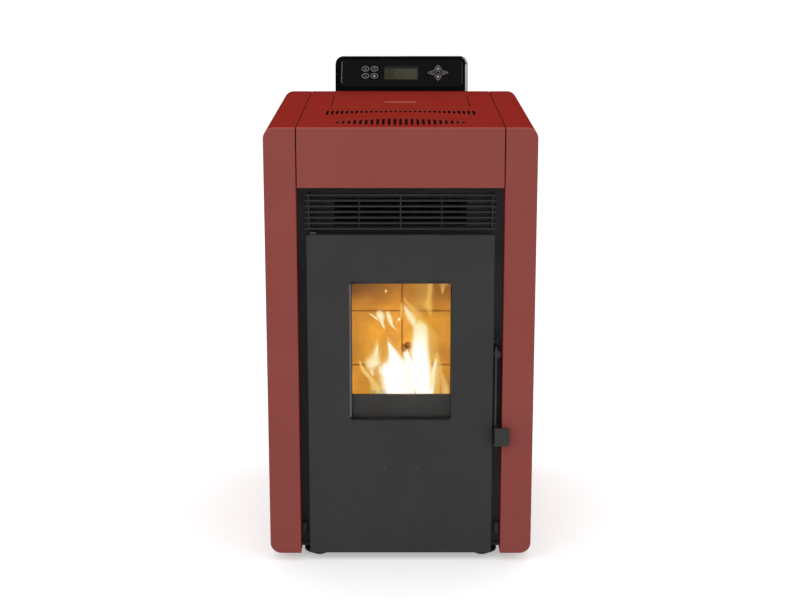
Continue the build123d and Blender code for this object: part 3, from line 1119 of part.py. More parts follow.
with BuildPart() as flue_spigot:
    flue_end = BODY_DEPTH + FLUE_REACH
    rod_y(FLUE_X, FLUE_Z, FLUE_RADIUS + FLUE_FLANGE_RIM,
          (FLUE_FLANGE_DEPTH, FLUE_FLANGE_DEPTH + FLUE_FLANGE_THICK))
    rod_y(FLUE_X, FLUE_Z, FLUE_RADIUS, (FLUE_FLANGE_DEPTH, flue_end))
    rod_y(FLUE_X, FLUE_Z, FLUE_RADIUS + BEAD, (BODY_DEPTH + 1, BODY_DEPTH + 1 + BEAD))
    rod_y(FLUE_X, FLUE_Z, FLUE_RADIUS - FLUE_WALL, (FLUE_FLANGE_DEPTH - 1, flue_end + 1),
          Mode.SUBTRACT)
save(flue_spigot.part, "flue_spigot")

with BuildPart() as air_intake:
    intake_end = BODY_DEPTH + FLUE_REACH - 15
    rod_y(INTAKE_X, INTAKE_Z, INTAKE_RADIUS + 5, (FIREBOX_BACK, FIREBOX_BACK + 3))
    rod_y(INTAKE_X, INTAKE_Z, INTAKE_RADIUS, (FIREBOX_BACK, intake_end))
    rod_y(INTAKE_X, INTAKE_Z, INTAKE_RADIUS + BEAD, (BODY_DEPTH + 1, BODY_DEPTH + 1 + BEAD))
    rod_y(INTAKE_X, INTAKE_Z, INTAKE_RADIUS - FLUE_WALL, (FIREBOX_BACK - 1, intake_end + 1),
          Mode.SUBTRACT)
save(air_intake.part, "air_intake")

# ---------------------------------------------------------------- room-air fan

ROOM_WALL = 2
ROOM_IN_X = (ROOM_FAN_X[0] + ROOM_WALL, ROOM_FAN_X[1] - ROOM_WALL)

with BuildPart() as room_fan_housing:
    outlet_z = (ROOM_OUTLET[1], ROOM_FAN_Z + ROOM_FAN_RADIUS)
    rod_x(ROOM_FAN_DEPTH, ROOM_FAN_Z, ROOM_FAN_RADIUS, ROOM_FAN_X)
    slab(ROOM_FAN_X, (ROOM_OUTLET[0], ROOM_FAN_DEPTH), outlet_z)
    slab(ROOM_FAN_X, (ROOM_FAN_DEPTH - 45, ROOM_FAN_DEPTH + 45), (BASE_TOP_Z, ROOM_FAN_Z - 40))
    rod_x(ROOM_FAN_DEPTH, ROOM_FAN_Z, ROOM_FAN_RADIUS - ROOM_WALL, ROOM_IN_X, Mode.SUBTRACT)
    slab(ROOM_IN_X, (ROOM_OUTLET[0] - 1, ROOM_FAN_DEPTH),
         (outlet_z[0] + ROOM_WALL, outlet_z[1] - ROOM_WALL), Mode.SUBTRACT)
    rod_x(ROOM_FAN_DEPTH, ROOM_FAN_Z, 40, (ROOM_FAN_X[0] - 1, ROOM_IN_X[0] + 1), Mode.SUBTRACT)
    rod_x(ROOM_FAN_DEPTH, ROOM_FAN_Z, FAN_SHAFT + 1, (ROOM_IN_X[1] - 1, ROOM_FAN_X[1] + 1),
          Mode.SUBTRACT)
save(room_fan_housing.part, "room_fan_housing")

with BuildPart() as room_fan_rotor:
    drum_x = (ROOM_IN_X[0] + 4, ROOM_IN_X[1] - 4)
    for ring_x in (drum_x[0], sum(drum_x) / 2, drum_x[1] - 3):
        rod_x(ROOM_FAN_DEPTH, ROOM_FAN_Z, ROOM_ROTOR_RADIUS, (ring_x, ring_x + 3))
        rod_x(ROOM_FAN_DEPTH, ROOM_FAN_Z, ROOM_ROTOR_RADIUS - 12, (ring_x, ring_x + 3),
              Mode.SUBTRACT)
    rod_x(ROOM_FAN_DEPTH, ROOM_FAN_Z, ROOM_ROTOR_RADIUS - 11, (drum_x[1] - 3, drum_x[1]))
    with BuildSketch(side_plane(drum_x[0])):
        with Locations((ROOM_FAN_DEPTH, ROOM_FAN_Z)):
            with PolarLocations(ROOM_ROTOR_RADIUS - 6.5, ROOM_ROTOR_BLADES):
                Rectangle(10, 1.6, rotation=35)
    extrude(amount=drum_x[1] - drum_x[0])
    rod_x(ROOM_FAN_DEPTH, ROOM_FAN_Z, FAN_SHAFT, (drum_x[1] - 8, ROOM_FAN_X[1] + 40))
save(room_fan_rotor.part, "room_fan_rotor")

with BuildPart() as room_fan_motor:
    rod_x(ROOM_FAN_DEPTH, ROOM_FAN_Z, ROOM_MOTOR_RADIUS,
          (ROOM_FAN_X[1], ROOM_FAN_X[1] + ROOM_MOTOR_LENGTH - 12))
    rod_x(ROOM_FAN_DEPTH, ROOM_FAN_Z, ROOM_MOTOR_RADIUS - 12,
          (ROOM_FAN_X[1], ROOM_FAN_X[1] + ROOM_MOTOR_LENGTH))
    rod_x(ROOM_FAN_DEPTH, ROOM_FAN_Z, FAN_SHAFT + PIN_PLAY,
          (ROOM_FAN_X[1] - 1, ROOM_FAN_X[1] + 42), Mode.SUBTRACT)
save(room_fan_motor.part, "room_fan_motor")

# ---------------------------------------------------------------- electrics

with BuildPart() as control_board:
    board_back = REAR_INSIDE - STANDOFF
    board_front = board_back - BOARD_THICK
    slab(BOARD_X, (board_front, board_back), BOARD_Z)
    for post_x in (BOARD_X[0] + BOARD_POST_INSET, BOARD_X[1] - BOARD_POST_INSET):
        for post_z in (BOARD_Z[0] + BOARD_POST_INSET, BOARD_Z[1] - BOARD_POST_INSET):
            rod_y(post_x, post_z, BOARD_POST, (board_front, REAR_INSIDE))
    fitted = [(TRANSFORMER, TRANSFORMER_PLACE), (CONTROLLER, CONTROLLER_PLACE),
              (TERMINALS, TERMINALS_PLACE)]
    fitted += [(RELAY, (RELAY_PLACE[0], RELAY_PLACE[1] + RELAY_STEP * index)) for index in range(4)]
    for (width, reach, height), (right, up) in fitted:
        slab((BOARD_X[0] + right, BOARD_X[0] + right + width), (board_front - reach, board_front),
             (BOARD_Z[0] + up, BOARD_Z[0] + up + height))
    for right, up in CAN_PLACES:
        rod_y(BOARD_X[0] + right, BOARD_Z[0] + up, CAN_RADIUS,
              (board_front - CAN_REACH, board_front))
save(control_board.part, "control_board")

with BuildPart() as power_inlet:
    inlet_x = (INLET_X - INLET_HALF, INLET_X + INLET_HALF)
    slab(inlet_x, (BODY_DEPTH, BODY_DEPTH + 2), INLET_Z)
    fillet(power_inlet.edges().filter_by(Axis.Y), 3)
    slab((INLET_CUT_X[0] + CUTOUT_PLAY, INLET_CUT_X[1] - CUTOUT_PLAY),
         (BODY_DEPTH - 34, BODY_DEPTH), (INLET_CUT_Z[0] + CUTOUT_PLAY, INLET_CUT_Z[1] - CUTOUT_PLAY))
    # socket for the appliance plug with its three blades
    slab((INLET_X - 12, INLET_X + 12), (BODY_DEPTH - 18, BODY_DEPTH + 3),
         (SOCKET_Z - 8, SOCKET_Z + 8), Mode.SUBTRACT)
    for blade_x, blade_z in ((-7, -2), (0, 2), (7, -2)):
        slab((INLET_X + blade_x - 1, INLET_X + blade_x + 1), (BODY_DEPTH - 19, BODY_DEPTH - 2),
             (SOCKET_Z + blade_z - 2, SOCKET_Z + blade_z + 2))
    # well for the rocker
    rod_x(BODY_DEPTH, ROCKER_Z, ROCKER_RADIUS + 0.4,
          (INLET_X - ROCKER_HALF - 0.4, INLET_X + ROCKER_HALF + 0.4), Mode.SUBTRACT)
    for side in (-1, 1):
        rod_x(BODY_DEPTH, ROCKER_Z, 1.5 + PIN_PLAY,
              (INLET_X + side * ROCKER_HALF, INLET_X + side * (ROCKER_HALF + 3)), Mode.SUBTRACT)
save(power_inlet.part, "power_inlet")

with BuildPart() as power_switch:
    rod_x(BODY_DEPTH, ROCKER_Z, ROCKER_RADIUS, (INLET_X - ROCKER_HALF, INLET_X + ROCKER_HALF))
    # two shallow finger faces, one above and one below the middle ridge
    for side in (-1, 1):
        with BuildSketch(side_plane(INLET_X - ROCKER_HALF - 1)):
            with BuildLine():
                Polyline((BODY_DEPTH + 4.4, ROCKER_Z), (BODY_DEPTH + 3.2, ROCKER_Z + side * 7),
                         (BODY_DEPTH + 8, ROCKER_Z + side * 7), (BODY_DEPTH + 8, ROCKER_Z),
                         close=True)
            make_face()
        extrude(amount=2 * ROCKER_HALF + 2, mode=Mode.SUBTRACT)
    rod_x(BODY_DEPTH, ROCKER_Z, 1.5, (INLET_X - ROCKER_HALF - 2.5, INLET_X + ROCKER_HALF + 2.5))
save(power_switch.part, "power_switch")

with BuildPart() as safety_devices:
    rod_y(INLET_X, CAP_Z, CAP_RADIUS, (BODY_DEPTH, BODY_DEPTH + CAP_REACH))
    fillet(safety_devices.faces().sort_by(Axis.Y)[-1].edges(), CAP_REACH / 4.5)
    rod_y(INLET_X, CAP_Z, CAP_STEM[0], (BODY_DEPTH - CAP_STEM[1], BODY_DEPTH))
    rod_y(INLET_X, CAP_Z, CAP_NUT[0], (REAR_INSIDE - CAP_NUT[1], REAR_INSIDE))
    step_back = REAR_INSIDE
    for radius, reach in PRESSURE_SWITCH:
        rod_y(SWITCH_X, SWITCH_Z, radius, (step_back - reach, step_back))
        step_back -= reach
save(safety_devices.part, "safety_devices")

# ---------------------------------------------------------------- console

CONSOLE_TOP_Z = TOP_Z + CONSOLE_RISE
CONSOLE_LEAN = CONSOLE_RISE * tan(TILT)
CONSOLE_FACE = Plane(origin=(CONSOLE_MIDDLE_X, FRONT_Y + BODY_DEPTH, TOP_Z), x_dir=(1, 0, 0),
                     z_dir=(0, -cos(TILT), sin(TILT)))
FASCIA_MIDDLE = (0, (FASCIA_Y[0] + FASCIA_Y[1]) / 2)
FASCIA_TALL = FASCIA_Y[1] - FASCIA_Y[0]
FASCIA_TOP = -FASCIA_SUNK
FASCIA_UNDER = FASCIA_TOP - FASCIA_THICK
FLANGE_TOP = FASCIA_UNDER - MOVING_GAP


def plate(level, middle, width, height, corner, thickness, mode=Mode.ADD):
    """Rounded plate parallel to the tilted console face, from a level downwards."""
    with BuildSketch(CONSOLE_FACE.offset(level)) as outline:
        with Locations(middle):
            RectangleRounded(width, height, corner)
    extrude(outline.sketch, amount=-thickness, mode=mode)


with BuildPart() as console_housing:
    with BuildSketch(side_plane(CONSOLE_MIDDLE_X - CONSOLE_X)):
        with BuildLine():
            Polyline((BODY_DEPTH, CONSOLE_BOTTOM_Z), (BODY_DEPTH, TOP_Z),
                     (BODY_DEPTH + CONSOLE_LEAN, CONSOLE_TOP_Z),
                     (BODY_DEPTH + CONSOLE_LEAN + 14, CONSOLE_TOP_Z),
                     (BODY_DEPTH + CONSOLE_THICK + 6, CONSOLE_TOP_Z - 30),
                     (BODY_DEPTH + CONSOLE_THICK + 6, CONSOLE_BOTTOM_Z + 14),
                     (BODY_DEPTH + CONSOLE_THICK - 8, CONSOLE_BOTTOM_Z), close=True)
        make_face()
    extrude(amount=2 * CONSOLE_X)
    top_face = console_housing.faces().sort_by(Axis.Z)[-1]
    fillet(top_face.edges().filter_by(Axis.Y), CONSOLE_CORNER)
    plate(1, FASCIA_MIDDLE, 2 * FASCIA_X + 2 * 0.2, FASCIA_TALL + 2 * 0.2, FASCIA_CORNER + 0.2,
          1 - FASCIA_UNDER, Mode.SUBTRACT)
    plate(0, FASCIA_MIDDLE, 2 * (FASCIA_X - CAVITY_LIP), FASCIA_TALL - 2 * CAVITY_LIP, 4,
          CAVITY_DEEP, Mode.SUBTRACT)
save(console_housing.part, "console_housing")


OVAL_PLACES = {
    "key_mode": (OVAL_X[0], OVAL_Y[1]),
    "key_timer": (OVAL_X[1], OVAL_Y[1]),
    "key_fan": (OVAL_X[0], OVAL_Y[0]),
    "key_flame": (OVAL_X[1], OVAL_Y[0]),
}
# arrow keys: the leaf each is cut from, the turn of its tip and where its base starts
ARROWS = {
    "nav_up": (NAV_RISE_LEAF, 90, NAV_OK[1] / 2 + NAV_SPACE),
    "nav_down": (NAV_RISE_LEAF, -90, NAV_OK[1] / 2 + NAV_SPACE),
    "nav_left": (NAV_SIDE_LEAF, 180, NAV_OK[0] / 2 + NAV_SPACE),
    "nav_right": (NAV_SIDE_LEAF, 0, NAV_OK[0] / 2 + NAV_SPACE),
}


def arrow(level, name, grow, thickness, mode=Mode.ADD):
    """Half of a pointed leaf, from a level on the console face downwards."""
    (half_width, tip), turn, start = ARROWS[name]
    bow = (tip ** 2 + half_width ** 2) / (2 * half_width)
    # the outline is drawn smaller by its corner radius, then grown back with round corners
    inner = bow - NAV_TIP_RADIUS
    base = start + NAV_TIP_RADIUS
    inner_tip = sqrt(inner ** 2 - (bow - half_width) ** 2)
    middle = (base + inner_tip) / 2
    half_base = half_width - bow + sqrt(inner ** 2 - base ** 2)
    half_middle = half_width - bow + sqrt(inner ** 2 - middle ** 2)
    with BuildSketch(CONSOLE_FACE.offset(level)) as outline:
        with BuildLine(Plane.XY):
            ThreePointArc((base, -half_base), (middle, -half_middle), (inner_tip, 0))
            ThreePointArc((inner_tip, 0), (middle, half_middle), (base, half_base))
            Line((base, half_base), (base, -half_base))
        make_face()
        offset(amount=NAV_TIP_RADIUS + grow)
    placed = outline.sketch_local.rotate(Axis.Z, turn).moved(Location((NAV_X, NAV_Y)))
    extrude(CONSOLE_FACE.offset(level) * placed, amount=-thickness, mode=mode)


def key_shape(level, name, grow, thickness, mode=Mode.ADD):
    """Outline of a key grown by a margin, from a level on the console face downwards."""
    if name in ARROWS:
        arrow(level, name, grow, thickness, mode)
        return
    if name in OVAL_PLACES:
        middle, size, corner = OVAL_PLACES[name], OVAL_KEY, OVAL_CORNER
    else:
        middle, size, corner = (NAV_X, NAV_Y), NAV_OK, NAV_OK_CORNER
    plate(level, middle, size[0] + 2 * grow, size[1] + 2 * grow, corner + grow, thickness, mode)


KEY_NAMES = [*OVAL_PLACES, *ARROWS, "nav_ok"]
LCD_MIDDLE = (0, (LCD_Y[0] + LCD_Y[1]) / 2)
LCD_TALL = LCD_Y[1] - LCD_Y[0]

with BuildPart() as console_fascia:
    plate(FASCIA_TOP, FASCIA_MIDDLE, 2 * FASCIA_X, FASCIA_TALL, FASCIA_CORNER, FASCIA_THICK)
    plate(0, LCD_MIDDLE, 2 * (LCD_X + LCD_PLAY), LCD_TALL + 2 * LCD_PLAY, LCD_CORNER + LCD_PLAY,
          CAVITY_LIP, Mode.SUBTRACT)
    for key_name in KEY_NAMES:
        key_shape(0, key_name, MOVING_GAP, CAVITY_LIP, Mode.SUBTRACT)
save(console_fascia.part, "console_fascia")

with BuildPart() as lcd_screen:
    plate(FASCIA_TOP - LCD_SUNK, LCD_MIDDLE, 2 * LCD_X, LCD_TALL, LCD_CORNER,
          FASCIA_THICK - LCD_SUNK)
    plate(FASCIA_UNDER, LCD_MIDDLE, 2 * (LCD_X + LCD_LIP), LCD_TALL + 2 * LCD_LIP,
          LCD_CORNER + LCD_PLAY, LCD_THICK)
save(lcd_screen.part, "lcd_screen")

for key_name in KEY_NAMES:
    with BuildPart() as key:
        key_shape(KEY_PROUD, key_name, 0, KEY_PROUD - FLANGE_TOP)
        key_shape(FLANGE_TOP, key_name, KEY_LIP, KEY_FLANGE)
    save(key.part, key_name)
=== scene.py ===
"""Finishes, fire and small fittings of a freestanding pellet stove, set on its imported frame."""
import math
import random

import bmesh
import bpy
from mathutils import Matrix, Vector


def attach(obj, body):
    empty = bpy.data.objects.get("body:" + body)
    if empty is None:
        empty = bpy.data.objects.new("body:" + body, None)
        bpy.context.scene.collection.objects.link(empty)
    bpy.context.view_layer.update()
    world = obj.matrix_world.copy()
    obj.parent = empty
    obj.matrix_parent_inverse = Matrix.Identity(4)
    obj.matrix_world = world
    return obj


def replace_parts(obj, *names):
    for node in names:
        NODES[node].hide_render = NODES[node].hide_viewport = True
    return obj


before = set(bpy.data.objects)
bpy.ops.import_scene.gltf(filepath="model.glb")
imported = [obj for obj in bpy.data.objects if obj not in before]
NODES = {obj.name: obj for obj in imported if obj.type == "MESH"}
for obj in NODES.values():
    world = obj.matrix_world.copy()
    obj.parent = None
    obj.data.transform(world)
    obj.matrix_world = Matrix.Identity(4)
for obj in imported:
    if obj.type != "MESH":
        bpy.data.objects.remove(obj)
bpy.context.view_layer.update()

# ---- the stove's own measures, in millimetres; a depth is measured back from the red front
MM = 0.001
FRONT_Y = -303
TOP_Z = 805
CONSOLE_DEPTH = 560
CONSOLE_MIDDLE_X = 2.2
CONSOLE_TILT = math.radians(12)
HOPPER_FRONT_DEPTH = 292
REAR_BRICK_DEPTH = 231
REAR_SEAM_X = 3
SIDE_SEAM_DEPTH = 138.2

# ---- heights and places that finishes use, in metres; a pair is where a change starts and ends
FIREBOX_TOP = (0.682, 0.684)
# upper bricks and bricks to the left, where painted shade dims the painted firelight
BELOW_BAFFLE = (0.600, 0.590)
SHADED_UPPER_BRICKS = (0.419, 0.472)
SHADED_BRICKS_TO_LEFT = (0.03, -0.10)
BRICK_ROWS = (0.3117, 0.4197)
JOINT_EDGE = (0.0026, 0.0012)
NOTCH_ACROSS = (0.0020, 0.0187)
NOTCH_LEVELS = (0.3377, 0.3539)
SIDE_BRICK_X = 0.122
OUT_OF_REACH = 1.0
GLASS_SIDES = (0.070, 0.104)
GLASS_FOOT = (0.330, 0.262)
SCORCHED_TIP = (-0.040, -0.085)
LCD_HALF = 0.034
LCD_CELLS = 1250.0
LCD_CELL_GAP = (0.86, 0.92)
LCD_RIGHT_EDGE, LCD_RIGHT_END = (0.0305, 0.0322), (0.0338, 0.0350)
LCD_LEFT_EDGE = (-0.0342, -0.0352)
LCD_TOP_EDGE, LCD_TOP_END = (0.8486, 0.8508), (0.8508, 0.8530)
FIRE_CENTRE = (-0.004, -0.140, 0.325)

# ---- studio
CAMERA_PLACE = (-0.0010, -3.1589, 1.1887)
CAMERA_PITCH = 76.38
CAMERA_LENS = 74.28
CAMERA_SENSOR = 36
FLOOR_HALF = 30
ROOM_LIGHT = 0.85
FLOOR_LIFT = 0.40
# name, place, aim, size and power of each soft square lamp
LAMPS = (
    ("key_lamp", (-1.7, -3.0, 2.4), (0, 0, 0.45), 1.8, 13),
    ("fill_lamp", (2.0, -3.0, 1.5), (0, 0, 0.40), 1.8, 8),
    ("top_lamp", (0.2, 0.3, 3.0), (0, 0, 0.5), 1.6, 7),
    ("rear_lamp", (-0.8, 3.2, 1.8), (0, 0, 0.4), 1.8, 7),
)
FIRE_LAMP_PLACE = (15, 105, 340)
FIRE_LAMP_POWER = 0.9
FIRE_LAMP_SIZE = 0.03
FIRE_LAMP_COLOUR = (1.0, 0.50, 0.16)

# ---- colours as linear red, green and blue
BLACK = (0, 0, 0)
WHITE = (1, 1, 1)
FLOOR_PALE = (0.80, 0.80, 0.80)
FLOOR_PALER = (0.82, 0.82, 0.82)
ENAMEL_DEEP = (0.262, 0.0180, 0.0118)
# the next three reds are painted light: sheen on upright faces, a highlight on the front top bend,
# light on the inward returns
ENAMEL_FACE_SHEEN = (0.289, 0.0745, 0.0650)
ENAMEL_BEND_HIGHLIGHT = (0.420, 0.1050, 0.0900)
ENAMEL_FOLD_LIGHT = (0.290, 0.0400, 0.0370)
ENAMEL_SHADE = (0.1, 0.01, 0.01)
# pale enamel of the edges, for wear and a painted highlight
ENAMEL_RUBBED_HIGHLIGHT = (0.42, 0.11, 0.09)
ENAMEL_DUST = (0.34, 0.12, 0.10)
ANTHRACITE = (0.034, 0.034, 0.034)
FRAME_BLACK = (0.0570, 0.0560, 0.0560)
GRILLE_BLACK = (0.026, 0.026, 0.026)
REAR_BLACK = (0.020, 0.020, 0.021)
HANDLE_BLACK = (0.018, 0.018, 0.019)
PIVOT_GREY = (0.075, 0.074, 0.074)
CONSOLE_BLACK = (0.0045, 0.0043, 0.0040)
HOUSING_BLACK = (0.0022, 0.0022, 0.0022)
KEY_BLACK = (0.0050, 0.0050, 0.0050)
PLASTIC_BLACK = (0.014, 0.014, 0.015)
RUBBER_BLACK = (0.004, 0.004, 0.004)
RUBBER_SHADE = (0.002, 0.002, 0.002)
PRINT_GREY = (0.310, 0.310, 0.310)
# grey of a painted highlight line on the fascia
HIGHLIGHT_LINE_GREY = (0.075, 0.075, 0.075)
PRINT_WHITE = (0.66, 0.66, 0.64)
LCD_LEFT = (0.041, 0.045, 0.020)
LCD_RIGHT = (0.075, 0.077, 0.054)
LCD_BORDER = (0.028, 0.028, 0.030)
ZINC = (0.52, 0.53, 0.55)
SCREW_GREY = (0.075, 0.075, 0.08)
AUGER_GREY = (0.38, 0.37, 0.36)
MOTOR_GREY = (0.55, 0.56, 0.57)
# the next three are colours of painted highlights: housing strip, fascia line, window edge
HOUSING_HIGHLIGHT_GREY = (0.48, 0.48, 0.51)
FASCIA_HIGHLIGHT_GREY = (0.21, 0.205, 0.225)
WINDOW_HIGHLIGHT_GREY = (0.12, 0.115, 0.125)
GALVANISED = (0.40, 0.42, 0.44)
GALVANISED_SHADE = (0.30, 0.30, 0.30)
CAST_IRON = (0.030, 0.029, 0.028)
POT_GREY = (0.040, 0.036, 0.034)
FIREBOX_STEEL = (0.0060, 0.0056, 0.0052)
CHUTE_RUST = (0.09, 0.050, 0.028)
# painted light: the chute's steady glow
CHUTE_GLOW = (0.20, 0.070, 0.015)
OXIDE_PRIMER = (0.62, 0.13, 0.11)
HOPPER_PRIMER = (0.20, 0.055, 0.050)
SOOT = (0.0050, 0.0045, 0.0042)
BRICK = (0.30, 0.20, 0.075)
BRICK_SHADE = (0.20, 0.12, 0.050)
JOINT_SOOT = (0.10, 0.045, 0.018)
JOINT_BROWN = (0.50, 0.38, 0.50)
NOTCH_BROWN = (0.47, 0.34, 0.36)
# colours of painted firelight, given off as glow by bricks and firebox steel
FIRE_GOLD = (0.97, 0.47, 0.030)
FIRE_DEEP = (0.50, 0.15, 0.018)
GLASS_CLEAR = (0.985, 0.975, 0.96)
GLASS_SOOTED = (0.62, 0.55, 0.48)
BOARD_GREEN = (0.012, 0.075, 0.030)
BOARD_TRACK = (0.040, 0.150, 0.050)
BOARD_SHADE = (0.008, 0.05, 0.02)
CERAMIC_WHITE = (0.58, 0.55, 0.50)
CERAMIC_SCORCH = (0.16, 0.11, 0.08)
CERAMIC_SHADE = (0.22, 0.18, 0.15)
ROPE_GREY = (0.17, 0.165, 0.155)
ROPE_SHADE = (0.045, 0.042, 0.038)
CORE_HOT = (1.30, 1.27, 1.18)
CORE_COOL = (0.98, 0.83, 0.42)
VEIL_HOT = (0.98, 0.74, 0.26)
VEIL_COOL = (0.92, 0.55, 0.12)
WISP_HOT = (1.02, 0.90, 0.56)
WISP_COOL = (0.92, 0.62, 0.18)
HAZE_HOT = (0.90, 0.55, 0.13)
HAZE_COOL = (0.86, 0.48, 0.10)
EMBER_CHAR = (0.012, 0.010, 0.009)
EMBER_SKIN = (0.30, 0.12, 0.04)
EMBER_DULL = (0.25, 0.020, 0.002)
EMBER_HOT = (1.0, 0.42, 0.08)
PELLET_WOOD = (0.42, 0.25, 0.115)
PELLET_DARK = (0.24, 0.13, 0.055)
PELLET_FLECK = (0.62, 0.44, 0.24)
ASH_PALE = (0.36, 0.34, 0.32)
ASH_SHADE = (0.20, 0.185, 0.17)
ASH_CRUMB = (0.02, 0.018, 0.016)
COAT_DUST = (0.16, 0.15, 0.14)
METAL_DUST = (0.22, 0.20, 0.18)
SHEET_DUST = (0.24, 0.21, 0.18)
IRON_DUST = (0.20, 0.185, 0.17)
FIREBOX_DUST = (0.06, 0.055, 0.05)
PLASTIC_DUST = (0.18, 0.17, 0.16)
FLOOR_DUST = (0.10, 0.095, 0.09)


def at(x, depth, z):
    """Point of the stove given in millimetres, as metres of the shared frame."""
    return Vector((x, FRONT_Y + depth, z)) * MM


# ------------------------------------------------------------------ node helpers

def add(tree, kind, **settings):
    """Shader node of a kind, with its settings."""
    made = tree.nodes.new("ShaderNode" + kind)
    for name, value in settings.items():
        setattr(made, name, value)
    return made


def tree_of(*values):
    """Node tree of the first socket among some values."""
    return next(value.id_data for value in values if isinstance(value, bpy.types.NodeSocket))


def feed(target, source):
    """Links a socket, or writes a plain value into it."""
    if isinstance(source, bpy.types.NodeSocket):
        target.id_data.links.new(source, target)
    elif target.type == "RGBA" and len(source) == 3:
        target.default_value = (*source, 1)
    else:
        target.default_value = source


# each of these helpers works in the tree of the socket that it is given

def maths(operation, first, second=0.0, clamp=False):
    made = add(tree_of(first, second), "Math", operation=operation, use_clamp=clamp)
    feed(made.inputs[0], first)
    feed(made.inputs[1], second)
    return made.outputs[0]


def times(*parts, clamp=False):
    """Product of two or more values."""
    product, *middle, last = parts
    for part in middle:
        product = maths("MULTIPLY", product, part)
    return maths("MULTIPLY", product, last, clamp)


def one_minus(value):
    return maths("SUBTRACT", 1.0, value)


def larger(first, second):
    return maths("MAXIMUM", first, second)


def size_of(value):
    """A value without its sign."""
    return maths("ABSOLUTE", value)


def remap(value, low, high, to_low=0.0, to_high=1.0, smooth=False):
    made = add(tree_of(value), "MapRange", interpolation_type="SMOOTHSTEP" if smooth else "LINEAR")
    made.clamp = True
    for socket, given in zip(made.inputs, (value, low, high, to_low, to_high)):
        feed(socket, given)
    return made.outputs[0]


def between(value, ends, fade=0.0008):
    """Mask that is 1 between two ends and fades over a short way at each."""
    low, high = ends
    return times(remap(value, low - fade, low + fade), remap(value, high + fade, high - fade))


def mix_colour(share, first, second, blend="MIX"):
    made = add(tree_of(share, first, second), "Mix", data_type="RGBA", blend_type=blend)
    feed(made.inputs["Factor"], share)
    feed(made.inputs[6], first)
    feed(made.inputs[7], second)
    return made.outputs[2]


def place(tree, stretch=(1, 1, 1)):
    """Object coordinates in metres, stretched along each axis."""
    coords = add(tree, "TexCoord").outputs["Object"]
    if stretch == (1, 1, 1):
        return coords
    mapping = add(tree, "Mapping")
    mapping.inputs["Scale"].default_value = stretch
    feed(mapping.inputs["Vector"], coords)
    return mapping.outputs[0]


def facing(tree):
    """Direction that a surface looks in."""
    return add(tree, "TexCoord").outputs["Normal"]


def axes(vector):
    """X, Y and Z of a vector, by name."""
    split = add(tree_of(vector), "SeparateXYZ")
    feed(split.inputs[0], vector)
    return split.outputs


def vectors(operation, first, second=None):
    made = add(tree_of(first), "VectorMath", operation=operation)
    feed(made.inputs[0], first)
    if second is not None:
        feed(made.inputs[1], second)
    return made.outputs


def texture(kind, vector, amounts, **settings):
    """Texture node on a vector; amounts go into its sockets by name."""
    made = add(tree_of(vector), kind, **settings)
    feed(made.inputs["Vector"], vector)
    for name, amount in amounts.items():
        feed(made.inputs[name], amount)
    return made.outputs


def noise(vector, scale, detail=3.0, roughness=0.5):
    return texture("TexNoise", vector,
                   {"Scale": scale, "Detail": detail, "Roughness": roughness})["Fac"]


def new_group(name, inputs, outputs):
    """Shader node group; inputs are (name, kind, default) and outputs are (name, kind)."""
    kinds = {"value": "NodeSocketFloat", "colour": "NodeSocketColor", "vector": "NodeSocketVector"}
    group = bpy.data.node_groups.new(name, "ShaderNodeTree")
    for label, kind, default in inputs:
        socket = group.interface.new_socket(label, in_out="INPUT", socket_type=kinds[kind])
        socket.default_value = (*default, 1) if kind == "colour" else default
    for label, kind in outputs:
        group.interface.new_socket(label, in_out="OUTPUT", socket_type=kinds[kind])
    start = group.nodes.new("NodeGroupInput")
    end = group.nodes.new("NodeGroupOutput")
    return group, start.outputs, end.inputs


def use(tree, group, **values):
    """Places a group in a material; keyword names are the names of its inputs."""
    made = add(tree, "Group")
    made.node_tree = group
    for name, value in values.items():
        feed(made.inputs[name], value)
    return made.outputs


# ------------------------------------------------------------------ shared effects

def make_mottle():
    """Slow drift between two shades of a finish."""
    group, given, result = new_group(
        "mottle",
        (("Base", "colour", (0.5, 0.5, 0.5)), ("Shade", "colour", (0.3, 0.3, 0.3)),
         ("Scale", "value", 6.0), ("Amount", "value", 0.5)),
        (("Color", "colour"), ("Mask", "value")))
    drift = noise(place(group), given["Scale"], 4.0, 0.55)
    mask = times(remap(drift, 0.35, 0.68, smooth=True), given["Amount"])
    feed(result["Color"], mix_colour(mask, given["Base"], given["Shade"]))
    feed(result["Mask"], mask)
    return group


def wavering(given, pattern):
    """The input Rough, moved up and down by a pattern as far as the input Spread."""
    swing = times(maths("SUBTRACT", pattern, 0.5), given["Spread"])
    return maths("ADD", given["Rough"], swing, clamp=True)


def make_coat():
    """Fine orange-peel of a baked powder coat."""
    group, given, result = new_group(
        "powder_coat",
        (("Scale", "value", 900.0), ("Rough", "value", 0.5), ("Spread", "value", 0.08)),
        (("Height", "value"), ("Roughness", "value")))
    where = place(group)
    broad = noise(where, times(given["Scale"], 0.02), 3.0)
    feed(result["Height"], noise(where, given["Scale"], 2.0, 0.4))
    feed(result["Roughness"], wavering(given, broad))
    return group


def make_brush():
    """Drawn or rolled metal: long fine scratches along one axis."""
    group, given, result = new_group(
        "rolled_metal",
        (("Along", "vector", (1.0, 1.0, 0.04)), ("Scale", "value", 700.0),
         ("Rough", "value", 0.35), ("Spread", "value", 0.2)),
        (("Height", "value"), ("Roughness", "value")))
    stretched = vectors("MULTIPLY", place(group), given["Along"])[0]
    scratch = noise(stretched, given["Scale"], 3.0, 0.6)
    feed(result["Height"], scratch)
    feed(result["Roughness"], wavering(given, scratch))
    return group


